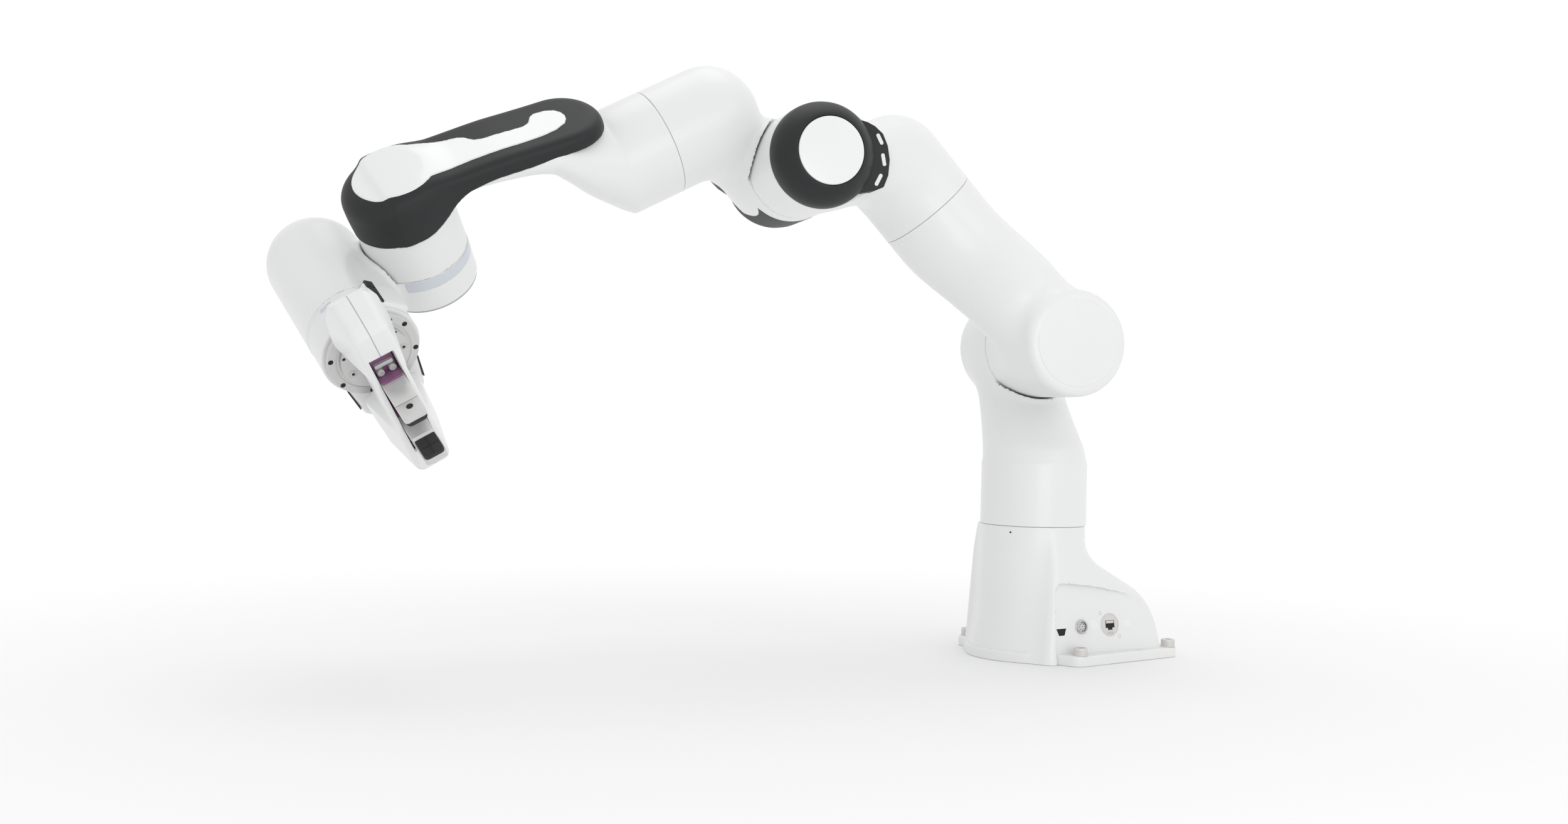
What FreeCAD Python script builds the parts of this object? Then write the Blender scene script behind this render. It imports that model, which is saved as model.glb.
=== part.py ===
"""Seven-joint collaborative robot arm with a two-finger parallel hand.

Every sub-part is designed in the frame of the link that carries it, then
placed where that link stands in the rest pose. Millimetres, +Z up, origin on
the mounting face under the axis of the first joint, +X to the front.
"""

import FreeCAD, Part
import math
import os

os.makedirs("parts", exist_ok=True)

# ---- driving dimensions -------------------------------------------------
# Rest angles of the seven joints, degrees.
REST = [-20.5, 43.2, 1.4, -75.1, 48.5, 89.6, 47.4]
FINGER_OPENING = 20.0          # each finger's distance from the hand's middle at rest

SHOULDER_HEIGHT = 333.0        # joint 2 axis above the mounting face
UPPER_ARM = 316.0              # joint 2 axis to the elbow offset
ELBOW_OFFSET = 82.5            # joint 4 axis beside the upper arm's and forearm's axes
FOREARM = 384.0                # joint 4 axis to the wrist centre
WRIST_OFFSET = 88.0            # joint 7 axis beside the joint 6 axis
FLANGE_REACH = 103.0           # wrist centre to the tool flange

GAP = 0.3                      # between two casings at a turning joint
WALL = 5.0                     # casing thickness
RUN = 0.05                     # radial clearance of a turning spigot

COLUMN_R = 55.5
ARM_R = 54.0
SHOULDER_R = 55.5
ELBOW_R = 53.0
WRIST_R = 48.0
BULB_R = 46.0
FLANGE_R = 43.0

BASE_SEAM = 141.0              # joint 1 parting plane above the mounting face
SHOULDER_SEAM = -12.5          # joint 2 parting plane along the joint 2 axis
SHOULDER_REACH = 99.0          # shoulder drum ends, both sides of the arm's plane
UPPER_SEAM = 192.0             # joint 3 parting plane from the joint 2 axis
ELBOW_REACH = 108.0            # elbow drum ends, both sides of the arm's plane
ELBOW_DOME = 12.0              # domes stop this far from the joint 4 axis plane
LOWER_SEAM = 122.0             # joint 5 parting plane from the joint 4 axis
WRIST_SEAM = 6.0               # joint 6 parting plane along the joint 6 axis
WRIST_LOW = -33.0              # lower end of the joint 6 drum
WRIST_TOP = 96.0               # forearm's outer face over the joint 6 drum
TOOL_SEAM = 58.5               # joint 7 parting plane along the joint 7 axis

PLATE_BACK = -136.0            # rear edge of the mounting plate
PLATE_HALF = 92.0              # half width of the mounting plate
PLATE_THICK = 11.0
BOLT_X = [12.0, -126.0]
BOLT_Y = 84.0
BOLT_R = 4.0
HOLE_R = 4.3                   # the bolt's collar fills the plate's hole
BOLT_HEAD_R = 7.5

HAND_LENGTH = 204.0
HAND_HEIGHT = 74.0
HAND_THICK = 31.0
SLOT_HALF = 62.0
SLOT_WIDE = 22.4

X = FreeCAD.Vector(1, 0, 0)
Y = FreeCAD.Vector(0, 1, 0)
Z = FreeCAD.Vector(0, 0, 1)


def vec(x, y, z):
    return FreeCAD.Vector(x, y, z)


def turn(axis, degrees):
    return FreeCAD.Placement(vec(0, 0, 0), FreeCAD.Rotation(axis, degrees))


def shift(x, y, z):
    return FreeCAD.Placement(vec(x, y, z), FreeCAD.Rotation())


# ---- frames of the links in the rest pose -----------------------------------
base = FreeCAD.Placement()
link_1 = shift(0, 0, SHOULDER_HEIGHT).multiply(turn(Z, REST[0]))
link_2 = link_1.multiply(turn(X, -90)).multiply(turn(Z, REST[1]))
link_3 = link_2.multiply(shift(0, -UPPER_ARM, 0)).multiply(turn(X, 90)).multiply(turn(Z, REST[2]))
link_4 = link_3.multiply(shift(ELBOW_OFFSET, 0, 0)).multiply(turn(X, 90)).multiply(turn(Z, REST[3]))
link_5 = link_4.multiply(shift(-ELBOW_OFFSET, FOREARM, 0)).multiply(turn(X, -90))
link_5 = link_5.multiply(turn(Z, REST[4]))
link_6 = link_5.multiply(turn(X, 90)).multiply(turn(Z, REST[5]))
link_7 = link_6.multiply(shift(WRIST_OFFSET, 0, 0)).multiply(turn(X, 90)).multiply(turn(Z, REST[6]))
hand = link_7.multiply(shift(0, 0, FLANGE_REACH)).multiply(turn(Z, -45))

nodes = {}


def keep(name, shape, frame):
    """Clean one sub-part, place it in its link's frame and write it out."""
    placed = shape.copy()
    placed.transformShape(frame.toMatrix())
    if placed.ShapeType == "Compound" and len(placed.Solids) == 1:
        placed = placed.Solids[0]
    nodes[name] = placed
    placed.exportStep("parts/" + name + ".step")


# ---- small builders ---------------------------------------------------------
def rod(radius, start, end, axis=Z, at=(0, 0, 0)):
    """Cylinder about an axis through a point, between two stations along it."""
    origin = vec(*at).add(vec(axis.x * start, axis.y * start, axis.z * start))
    return Part.makeCylinder(radius, end - start, origin, axis)


def tube(outer, inner, start, end, axis=Z, at=(0, 0, 0)):
    return rod(outer, start, end, axis, at).cut(rod(inner, start - 1, end + 1, axis, at))


def domed_rod(radius, flat_end, dome_end):
    """Solid of revolution about Y: flat at one end, a half ball at the other."""
    side = 1 if dome_end > flat_end else -1
    spring = dome_end - side * radius
    slant = radius * math.sqrt(0.5)
    shoulder = vec(radius, spring, 0)
    crown = vec(slant, spring + side * slant, 0)
    peak = vec(0, dome_end, 0)
    edges = [
        Part.LineSegment(vec(0, flat_end, 0), vec(radius, flat_end, 0)).toShape(),
        Part.LineSegment(vec(radius, flat_end, 0), shoulder).toShape(),
        Part.Arc(shoulder, crown, peak).toShape(),
        Part.LineSegment(peak, vec(0, flat_end, 0)).toShape(),
    ]
    solid = Part.Face(Part.Wire(edges)).revolve(vec(0, 0, 0), Y, 360)
    solid.rotate(vec(0, 0, 0), Y, 130)
    return solid


def moved(shape, x, y, z):
    placed = shape.copy()
    placed.translate(vec(x, y, z))
    return placed


def block(low, high):
    return Part.makeBox(high[0] - low[0], high[1] - low[1], high[2] - low[2], vec(*low))


def fuse(shapes):
    body = shapes[0]
    if len(shapes) > 1:
        body = body.multiFuse(shapes[1:])
    return body.removeSplitter()


def loft(rings):
    """Smooth skin through circles or ellipses: centre, normal direction, x radius, y radius."""
    wires = []
    for centre, axis, major, minor in rings:
        if abs(major - minor) < 0.01:
            edge = Part.makeCircle(major, vec(*centre), axis)
        else:
            ellipse = Part.Ellipse(vec(*centre), max(major, minor), min(major, minor))
            edge = ellipse.toShape()
            if major < minor:
                edge.rotate(vec(*centre), Z, 90)
        wires.append(Part.Wire([edge]))
    return Part.makeLoft(wires, True, False)


def prism(points, axis, start, end):
    """Polygon given as (x, z) or (y, z) or (x, y) pairs, pushed along the remaining axis."""
    corners = []
    for a, b in points:
        if axis == "y":
            corners.append(vec(a, start, b))
        elif axis == "x":
            corners.append(vec(start, a, b))
        else:
            corners.append(vec(a, b, start))
    corners.append(corners[0])
    face = Part.Face(Part.makePolygon(corners))
    push = {"x": X, "y": Y, "z": Z}[axis]
    return face.extrude(vec(push.x * (end - start), push.y * (end - start), push.z * (end - start)))


def soften(shape, radius, wanted):
    """Round the edges a test picks out, leaving the shape alone if they can't be rounded."""
    edges = [edge for edge in shape.Edges if wanted(edge)]
    if not edges:
        return shape
    try:
        rounded = shape.makeFillet(radius, edges)
    except Part.OCCError:
        return shape
    return rounded if rounded.isValid() and rounded.Volume > 0 else shape


def round_ends(shape, radius, axis, station):
    """Round the rim circles that lie at one station along an axis."""
    def on_station(edge):
        box = edge.BoundBox
        low = {"x": box.XMin, "y": box.YMin, "z": box.ZMin}[axis]
        high = {"x": box.XMax, "y": box.YMax, "z": box.ZMax}[axis]
        return abs(low - station) < 0.01 and abs(high - station) < 0.01
    return soften(shape, radius, on_station)


# ---- drives -------------------------------------------------------------------
# Each joint has the same drive: a stator with the gear in the carrying link and
# an output hub on the driven one. Its own axis is Z with the parting plane at 0.
SPIGOT_R = 18.0


def drive(outer, depth, flange):
    """Motor and strain-wave gear, bored for the output spigot."""
    body = fuse([
        rod(flange, -10, -4),
        rod(outer, -depth * 0.55, -4),
        rod(outer * 0.82, -depth * 0.86, -depth * 0.55),
        rod(outer * 0.6, -depth, -depth * 0.86),
    ])
    bolts = [rod(1.6, -11, -7, Z, spot) for spot in circle_spots(12, flange - 3.5, 0)]
    body = body.cut(Part.makeCompound(bolts))
    return body.cut(rod(SPIGOT_R + RUN, -depth - 1, 0))


def output(flange, depth):
    """Output hub: flange that carries the next casing, and its running spigot."""
    body = fuse([rod(flange, 2, 8), rod(SPIGOT_R, -depth * 0.8, 3)])
    bolts = [rod(1.6, 5, 9, Z, spot) for spot in circle_spots(12, flange - 3.5, 0)]
    body = body.cut(Part.makeCompound(bolts))
    return body.cut(rod(11, -depth, 10))


def circle_spots(count, radius, height, start=0.0):
    spots = []
    for index in range(count):
        angle = math.radians(start + 360.0 * index / count)
        spots.append((radius * math.cos(angle), radius * math.sin(angle), height))
    return spots


def along(shape, axis, station):
    """Stand a Z-axis shape along one of its frame's axes, with its parting plane at a station."""
    placements = {
        "z": shift(0, 0, station),
        "y": shift(0, station, 0).multiply(turn(X, -90)),
        "-y": shift(0, station, 0).multiply(turn(X, 90)),
    }
    placed = shape.copy()
    placed.transformShape(placements[axis].toMatrix())
    return placed


# ---- base ----------------------------------------------------------------------
PANEL_AT = 71.0                # side panel's foot, out from the middle at x 0
PANEL_SPLAY = -7.5             # the panels open towards the rear
PANEL_LEAN = 8.25              # and lean inwards
TAIL_HALF = 56.0               # half width of the room inside the tail

foot = fuse([
    Part.makeCone(66, 59.5, 29, vec(0, 0, PLATE_THICK)),
    Part.makeCone(59.5, COLUMN_R, 60, vec(0, 0, PLATE_THICK + 29)),
    rod(COLUMN_R, PLATE_THICK + 89, BASE_SEAM - GAP / 2),
])
tail_side = [
    (20, PLATE_THICK), (-114, PLATE_THICK), (-114, 30), (-110, 52), (-102, 66),
    (-60, 90), (-46, 108), (-36, 132), (20, 132),
]
tail = prism(tail_side, "y", -90, 90)
low_tail = block((-200, -90, 0), (24, 90, 64))
high_tail = rod(96, 0, 200, Z, (-20, 0, 0)).common(block((-200, -50, 0), (40, 50, 200)))
tail = tail.common(fuse([low_tail, high_tail]))


def on_panel(x, z):
    """Placement on the side panel at a station, with +Y pointing out of it."""
    splay = x * math.tan(math.radians(PANEL_SPLAY))
    out = PANEL_AT + splay - (z - PLATE_THICK) * math.tan(math.radians(PANEL_LEAN))
    return shift(x, out, z).multiply(turn(Z, PANEL_SPLAY)).multiply(turn(X, PANEL_LEAN))


beyond = block((-250, 0, -80), (250, 90, 250))
beyond.transformShape(on_panel(0, PLATE_THICK).toMatrix())
tail = tail.cut(beyond).cut(beyond.mirror(vec(0, 0, 0), Y))
housing = fuse([foot, tail])
hollow = fuse([
    rod(COLUMN_R - WALL, 0, BASE_SEAM + 1),
    prism([(0, 0), (-106, 0), (-106, 24), (-100, 48), (-60, 56), (0, 56)], "y", -TAIL_HALF, TAIL_HALF),
])
housing = housing.cut(hollow)

SOCKET_ROUND = (-6.0, 37.5)    # x, z of the round connector on the side panel
SOCKET_NET = (-44.5, 38.0)
ROUND_R = 7.5
NET_R = 12.0


def fitted(shape, spot):
    """Stand a socket, made along +Y from the panel's face, at its station."""
    placed = shape.copy()
    placed.transformShape(on_panel(*spot).toMatrix())
    return placed


housing = housing.cut(fitted(rod(ROUND_R, -30, 5, Y), SOCKET_ROUND))
housing = housing.cut(fitted(rod(NET_R, -30, 5, Y), SOCKET_NET))
keep("base_housing", housing, base)

bolt_spots = [(x, side * BOLT_Y) for x in BOLT_X for side in (1, -1)]
plate = block((PLATE_BACK, -PLATE_HALF, 0), (24, PLATE_HALF, PLATE_THICK))
plate = soften(plate, 8, lambda e: e.BoundBox.ZLength > PLATE_THICK - 0.1)
plate = fuse([plate, Part.makeCone(68.5, 66, PLATE_THICK)])
shanks = [rod(HOLE_R, -1, PLATE_THICK + 1, Z, (x, y, 0)) for x, y in bolt_spots]
keep("base_plate", plate.cut(Part.makeCompound(shanks)), base)

BOLT_REACH = 16.0
for index, (x, y) in enumerate(bolt_spots):
    head = rod(BOLT_HEAD_R, PLATE_THICK, PLATE_THICK + 8, Z, (x, y, 0))
    head = round_ends(head, 0.8, "z", PLATE_THICK + 8)
    socket = rod(3.4, PLATE_THICK + 4, PLATE_THICK + 9, Z, (x, y, 0))
    bolt = fuse([
        head.cut(socket),
        rod(HOLE_R, -0.3, PLATE_THICK, Z, (x, y, 0)),
        rod(BOLT_R, -BOLT_REACH, -0.3, Z, (x, y, 0)),
    ])
    keep("base_bolt_%d" % (index + 1), bolt, base)

socket_round = fuse([tube(ROUND_R, 5.2, -7, 2.5, Y), rod(5.2, -7, -1, Y)])
for x, z, height in circle_spots(8, 3.4, 0):
    socket_round = socket_round.fuse(rod(0.5, -1, 1.2, Y, (x, 0, z)))
keep("round_socket", fitted(socket_round, SOCKET_ROUND), base)
socket_net = rod(NET_R, -7, 0.6, Y).cut(block((-6, -6, -7), (6, 1, 3)))
keep("network_socket", fitted(socket_net, SOCKET_NET), base)

drive_1 = drive(44, 100, COLUMN_R - WALL)
keep("drive_1", along(drive_1, "z", BASE_SEAM), base)

# ---- link 1: column turning into the far half of the shoulder drum --------------------
COLUMN_FOOT = BASE_SEAM - SHOULDER_HEIGHT
SHOULDER_CLEAR = SHOULDER_R + 2.5

far_drum = rod(SHOULDER_R, -SHOULDER_REACH, SHOULDER_SEAM - GAP / 2, Y)
column = fuse([
    rod(COLUMN_R, COLUMN_FOOT + GAP / 2, -127),
    loft([
        ((0, 0, -127), Z, COLUMN_R, COLUMN_R),
        ((0, -4, -110), Z, 54, 54),
        ((0, -20, -72), Z, 47, 47),
        ((0, -52, -30), Z, 38, 38),
    ]),
    round_ends(far_drum, 14, "y", -SHOULDER_REACH),
])
column = column.cut(rod(SHOULDER_CLEAR, SHOULDER_SEAM - GAP / 2, 90, Y))
column_room = fuse([
    rod(COLUMN_R - WALL, COLUMN_FOOT - 1, -112),
    rod(SHOULDER_R - WALL, -SHOULDER_REACH + 8, SHOULDER_SEAM + 1, Y),
])
keep("column_casing", column.cut(column_room), link_1)
keep("output_1", output(COLUMN_R - WALL, 100), link_1.multiply(shift(0, 0, COLUMN_FOOT)))
keep("drive_2", along(drive(43, 74, SHOULDER_R - WALL), "y", SHOULDER_SEAM), link_1)

# ---- link 2: near half of the shoulder drum and the upper arm ---------------------------
upper = fuse([
    rod(SHOULDER_R, SHOULDER_SEAM + GAP / 2, SHOULDER_REACH),
    loft([
        ((0, -UPPER_SEAM + GAP / 2, 0), Y, ARM_R, ARM_R),
        ((0, -150, 6), Y, 53, 53),
        ((0, -105, 24), Y, 50, 50),
        ((0, -60, 42), Y, 48, 48),
        ((0, -20, 46), Y, 46, 46),
    ]),
])
upper = round_ends(upper, 11, "z", SHOULDER_REACH)
upper = upper.cut(rod(SHOULDER_CLEAR, -120, SHOULDER_SEAM + GAP / 2))
upper_room = fuse([
    rod(SHOULDER_R - WALL, SHOULDER_SEAM - 1, SHOULDER_REACH - 8),
    rod(ARM_R - WALL, -UPPER_SEAM - 1, -158, Y),
    rod(37, -UPPER_SEAM - 1, -132, Y),
])
SHOULDER_CAP_R = 42.0
cap_room = rod(SHOULDER_CAP_R, SHOULDER_REACH - 3, SHOULDER_REACH + 1)
keep("upper_arm_casing", upper.cut(upper_room).cut(cap_room), link_2)
shoulder_cap = rod(SHOULDER_CAP_R, SHOULDER_REACH - 3, SHOULDER_REACH + 1)
keep("shoulder_cap", round_ends(shoulder_cap, 0.8, "z", SHOULDER_REACH + 1), link_2)
keep("output_2", along(output(SHOULDER_R - WALL, 74), "z", SHOULDER_SEAM), link_2)
keep("drive_3", along(drive(43, 58, ARM_R - WALL), "-y", -UPPER_SEAM), link_2)


# ---- links 3 and 4: the two mirrored halves of the elbow ---------------------------------
RING_IN = 34.0
RING_DEEP = 32.0


def elbow_half(length):
    """In the elbow frame: domed limb towards -Y, drum half towards -Z."""
    limb = moved(domed_rod(ARM_R, -length + GAP / 2, -ELBOW_DOME), -ELBOW_OFFSET, 0, 0)
    drum = rod(ELBOW_R, -ELBOW_REACH, -GAP / 2)
    web = prism([
        (-ELBOW_OFFSET + 50, -length + 1),
        (-ELBOW_OFFSET, -length + 1),
        (-ELBOW_OFFSET, -66),
        (-20, -20),
        (0, -20),
        (26, -44),
    ], "z", -46, -GAP / 2)
    limb = limb.cut(rod(ELBOW_R + 1.5, -GAP / 2, 90))
    solid = fuse([limb, drum, web])
    limb_room = rod(ARM_R - WALL, -length - 1, -62, Y, (-ELBOW_OFFSET, 0, 0))
    drum_room = rod(ELBOW_R - WALL, -ELBOW_REACH + RING_DEEP + 4, 1)
    ring_room = tube(ELBOW_R + 1, RING_IN, -ELBOW_REACH - 1, -ELBOW_REACH + RING_DEEP)
    return solid.cut(limb_room).cut(drum_room).cut(ring_room)


def elbow_cover():
    """Dark ring over the end of the drum half."""
    ring = rod(ELBOW_R, -ELBOW_REACH, -ELBOW_REACH + RING_DEEP)
    ring = round_ends(ring, 16, "z", -ELBOW_REACH)
    return ring.cut(rod(RING_IN, -ELBOW_REACH - 1, -ELBOW_REACH + RING_DEEP + 1))


def elbow_cap():
    disc = rod(RING_IN, -ELBOW_REACH - 2, -ELBOW_REACH)
    return round_ends(disc, 1.2, "z", -ELBOW_REACH - 2)


elbow_3 = link_3.multiply(shift(ELBOW_OFFSET, 0, 0)).multiply(turn(X, 90))
elbow_4 = link_4.multiply(turn(X, 180))
for number, frame, length in ((3, elbow_3, UPPER_ARM - UPPER_SEAM), (4, elbow_4, LOWER_SEAM)):
    keep("elbow_casing_%d" % number, elbow_half(length), frame)
    keep("elbow_cover_%d" % number, elbow_cover(), frame)
    keep("elbow_cap_%d" % number, elbow_cap(), frame)
keep("output_3", along(output(ARM_R - WALL, 58), "z", UPPER_SEAM - UPPER_ARM), link_3)
keep("drive_4", drive(43, 72, ELBOW_R - WALL), elbow_3)
keep("output_4", output(ELBOW_R - WALL, 72), link_4)
FORE_START = LOWER_SEAM - FOREARM
keep("drive_5", along(drive(43, 52, ARM_R - WALL), "z", FORE_START), link_5)

# ---- link 5: forearm, swept to one side of its axis ---------------------------------------
INLAY_HALF = 29.0
INLAY_FAR = -196.0
forearm = fuse([
    loft([
        ((0, 0, FORE_START + GAP / 2), Z, ARM_R, ARM_R),
        ((0, 4, -225), Z, ARM_R, 53),
        ((0, 26, -180), Z, 50, 46),
        ((0, 60, -140), Z, 44, 31),
        ((0, 72, -100), Z, 42, 21),
        ((0, 72, 0), Z, 42, 20),
    ]),
    rod(WRIST_R, WRIST_SEAM + GAP / 2, WRIST_TOP, Y),
])
forearm = round_ends(forearm, 8, "y", WRIST_TOP)
fore_room = fuse([
    rod(ARM_R - WALL, FORE_START - 1, -246),
    rod(37, FORE_START - 1, -214),
    rod(WRIST_R - WALL, WRIST_SEAM - 1, WRIST_TOP - 22, Y),
])
COVER_LOW = WRIST_TOP - 10
COVER_HALF = 37.0
COVER_FAR = -204.0


def stadium(half, far, low, high):
    """Plate over the forearm: parallel sides, round over the joint 6 axis and at the far end."""
    bar = block((-half, low, far + half), (half, high, 0))
    return fuse([bar, rod(half, low, high, Y), rod(half, low, high, Y, (0, 0, far + half))])


inlay = stadium(INLAY_HALF, INLAY_FAR, COVER_LOW, WRIST_TOP)
cover = fuse([stadium(COVER_HALF, COVER_FAR, COVER_LOW, WRIST_TOP), rod(WRIST_R, COVER_LOW, WRIST_TOP, Y)])
cover = cover.cut(inlay)
above = block((-80, COVER_LOW, COVER_FAR), (80, 140, 80))
casing = forearm.cut(fore_room).cut(above)
keep("forearm_casing", casing, link_5)
keep("forearm_inlay", inlay, link_5)
keep("forearm_cover", cover, link_5)
keep("output_5", along(output(ARM_R - WALL, 52), "z", FORE_START), link_5)
keep("drive_6", along(drive(38, 66, WRIST_R - WALL), "-y", WRIST_SEAM), link_5)

# ---- link 6: drum under the forearm, neck and the joint 7 bulb ------------------------------
BULB_TOP = 98.0                # the dome's crown, along -joint 7
BAND = (-4.5, 7.0)             # the coloured half ring below joint 6's seam
bulb = fuse([
    moved(domed_rod(BULB_R, -TOOL_SEAM + GAP / 2, BULB_TOP), WRIST_OFFSET, 0, 0),
    rod(WRIST_R, -WRIST_SEAM + GAP / 2, -WRIST_LOW),
    block((10, -30, -3), (WRIST_OFFSET, 26, 30)),
])
bulb = bulb.cut(rod(WRIST_R + 1, -120, -WRIST_SEAM + GAP / 2))
bulb_room = fuse([
    moved(domed_rod(BULB_R - WALL, -TOOL_SEAM - 1, BULB_TOP - WALL), WRIST_OFFSET, 0, 0),
    rod(WRIST_R - WALL, -WRIST_SEAM - 1, -WRIST_LOW - 8),
])
lower_cap_room = rod(WRIST_R - 7, -WRIST_LOW - 3, -WRIST_LOW + 1)
band_room = tube(WRIST_R + 1, WRIST_R - 1.2, BAND[0], BAND[1]).cut(block((0, -60, 0), (120, 60, 60)))
keep("wrist_casing", bulb.cut(bulb_room).cut(lower_cap_room).cut(band_room), link_6)
band = tube(WRIST_R, WRIST_R - 1.2, BAND[0], BAND[1]).cut(block((0, -60, 0), (120, 60, 60)))
keep("wrist_band", band, link_6)
wrist_cap = rod(WRIST_R - 7, -WRIST_LOW - 3, -WRIST_LOW + 1.5)
keep("wrist_cap", round_ends(wrist_cap, 1, "z", -WRIST_LOW + 1.5), link_6)
keep("output_6", along(output(WRIST_R - WALL, 66), "z", -WRIST_SEAM), link_6)
keep("drive_7", along(drive(36, 48, BULB_R - WALL), "z", TOOL_SEAM), link_7)

# ---- link 7: flange body with the guiding buttons -------------------------------------------
body_7 = tube(BULB_R, BULB_R - WALL, TOOL_SEAM + GAP / 2, FLANGE_REACH - 7)
PILOT_FACE = -51.0             # flat face of the button block
pilot = block((PILOT_FACE, -18, TOOL_SEAM + 2), (-20, 18, FLANGE_REACH - 8)).cut(rod(BULB_R, 0, 200))
pilot = soften(pilot, 2, lambda e: e.BoundBox.XMax < PILOT_FACE + 0.1 and e.BoundBox.ZLength > 20)
BUTTON = (8.0, 10.0)
BUTTON_SIDE = -12.5
button_spots = [TOOL_SEAM + 8 + 11 * index for index in range(3)]
for station in button_spots:
    pocket = block((PILOT_FACE - 1, BUTTON_SIDE - BUTTON[0] / 2 - 0.2, station - BUTTON[1] / 2 - 0.2),
                   (PILOT_FACE + 3.4, BUTTON_SIDE + BUTTON[0] / 2 + 0.2, station + BUTTON[1] / 2 + 0.2))
    pilot = pilot.cut(pocket)
beak = prism([(-38, 14), (-34.4, 40), (-31, 66), (-24, 74), (24, 74), (31, 66), (34.4, 40), (38, 14)], "z",
             FLANGE_REACH - 34, FLANGE_REACH - 7.2)
beak = beak.cut(rod(BULB_R - 1, 0, 200))
beak.rotate(vec(0, 0, 0), Z, -45)
keep("tool_body", fuse([body_7, beak]), link_7)
keep("button_block", pilot, link_7)
for index, station in enumerate(button_spots):
    key = block((PILOT_FACE - 0.6, BUTTON_SIDE - BUTTON[0] / 2, station - BUTTON[1] / 2),
                (PILOT_FACE + 2.2, BUTTON_SIDE + BUTTON[0] / 2, station + BUTTON[1] / 2))
    keep("button_%d" % (index + 1), key, link_7)
flange = fuse([rod(FLANGE_R, FLANGE_REACH - 7, FLANGE_REACH - 1), rod(31.5, FLANGE_REACH - 1, FLANGE_REACH)])
holes = [rod(2.5, 0, 200, Z, spot) for spot in circle_spots(8, 39.5, 0, 22.5)]
keep("tool_flange", flange.cut(Part.makeCompound(holes)), link_7)
keep("output_7", along(output(BULB_R - WALL, 48), "z", TOOL_SEAM), link_7)

# ---- hand: two half shells, belt drive, two coupled fingers ---------------------------------
HALF_LENGTH = HAND_LENGTH / 2
HALF_THICK = HAND_THICK / 2
FOOT_THICK = 26.5              # half thickness at the flange, where the sides have drafted out
ADAPTER = 3.5                  # round adapter between the flange and the shells
WAIST_HALF = 33.0              # the shells are slim over the flange, which leaves its face in view
TROUGH_FLOOR = 27.0
TROUGH_TOP = 58.0
TROUGH_HALF = 88.0
TRAVEL_HALF = 72.0             # room under the palm for the carriages at full opening
LINER = 1.0                    # coloured liner of the trough
BELT_Z = 33.0
PULLEY_R = 3.6
BELT = 0.8

keep("hand_adapter", rod(31.5, 0, ADAPTER), hand)
side_view = [
    (-82, HAND_HEIGHT), (-98, 62), (-HALF_LENGTH, 42), (-94, 27), (-52, 7), (-42, ADAPTER),
    (42, ADAPTER), (52, 7), (94, 27), (HALF_LENGTH, 42), (98, 62), (82, HAND_HEIGHT),
]
section = [
    (-FOOT_THICK, ADAPTER - 1), (FOOT_THICK, ADAPTER - 1),
    (HALF_THICK, HAND_HEIGHT + 1), (-HALF_THICK, HAND_HEIGHT + 1),
]
shell = prism(side_view, "x", -FOOT_THICK - 1, FOOT_THICK + 1).common(prism(section, "y", -120, 120))
for side in (1, -1):
    waist = block((HALF_THICK + 1, -WAIST_HALF, 0), (FOOT_THICK + 2, WAIST_HALF, HAND_HEIGHT + 2))
    if side < 0:
        waist = waist.mirror(vec(0, 0, 0), X)
    shell = shell.cut(waist)
trough = block((-SLOT_WIDE / 2, -TROUGH_HALF, TROUGH_FLOOR - 3), (SLOT_WIDE / 2, TROUGH_HALF, TROUGH_TOP))
slot = block((-SLOT_WIDE / 2, -SLOT_HALF, TROUGH_TOP - 1), (SLOT_WIDE / 2, SLOT_HALF, HAND_HEIGHT + 1))
motor_room = block((-12, -36, ADAPTER + 1.5), (12, 36, TROUGH_FLOOR - 4))
travel = block((-SLOT_WIDE / 2, -TRAVEL_HALF, TROUGH_TOP - 2),
               (SLOT_WIDE / 2, TRAVEL_HALF, HAND_HEIGHT - 4.5))
shell = shell.cut(fuse([trough, travel, slot])).cut(motor_room)
keep("hand_shell_left", shell.common(block((-40, -120, 0), (0, 120, 80))), hand)
keep("hand_shell_right", shell.common(block((0, -120, 0), (40, 120, 80))), hand)
liner = block((-SLOT_WIDE / 2, -TROUGH_HALF, TROUGH_FLOOR - 3), (SLOT_WIDE / 2, TROUGH_HALF, TROUGH_TOP - 1))
liner = liner.cut(block((-SLOT_WIDE / 2 + LINER, -TROUGH_HALF - 1, TROUGH_FLOOR),
                        (SLOT_WIDE / 2 - LINER, TROUGH_HALF + 1, HAND_HEIGHT)))
keep("trough_liner", liner, hand)
keep("hand_motor", fuse([rod(8.5, -34, 22, Y, (0, 0, 14)), rod(5, 22, 30, Y, (0, 0, 14))]), hand)

PULLEY_Y = 82.0
pulleys = []
for side in (1, -1):
    at = (0, side * PULLEY_Y, BELT_Z)
    pulleys.append(rod(PULLEY_R, -SLOT_WIDE / 2 + LINER, SLOT_WIDE / 2 - LINER, X, at))
keep("pulley_far", pulleys[0], hand)
keep("pulley_near", pulleys[1], hand)


def racetrack(radius, start, end):
    """Round-ended loop profile over both pulleys, between two stations across the hand."""
    middle = block((start, -PULLEY_Y, BELT_Z - radius), (end, PULLEY_Y, BELT_Z + radius))
    ends = [rod(radius, start, end, X, (0, side * PULLEY_Y, BELT_Z)) for side in (1, -1)]
    return fuse([middle] + ends)


for name, start in (("belt_left", -6.5), ("belt_right", 3.5)):
    loop = racetrack(PULLEY_R + BELT, start, start + 3.0).cut(racetrack(PULLEY_R, start - 1, start + 4.0))
    keep(name, loop, hand)

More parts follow.
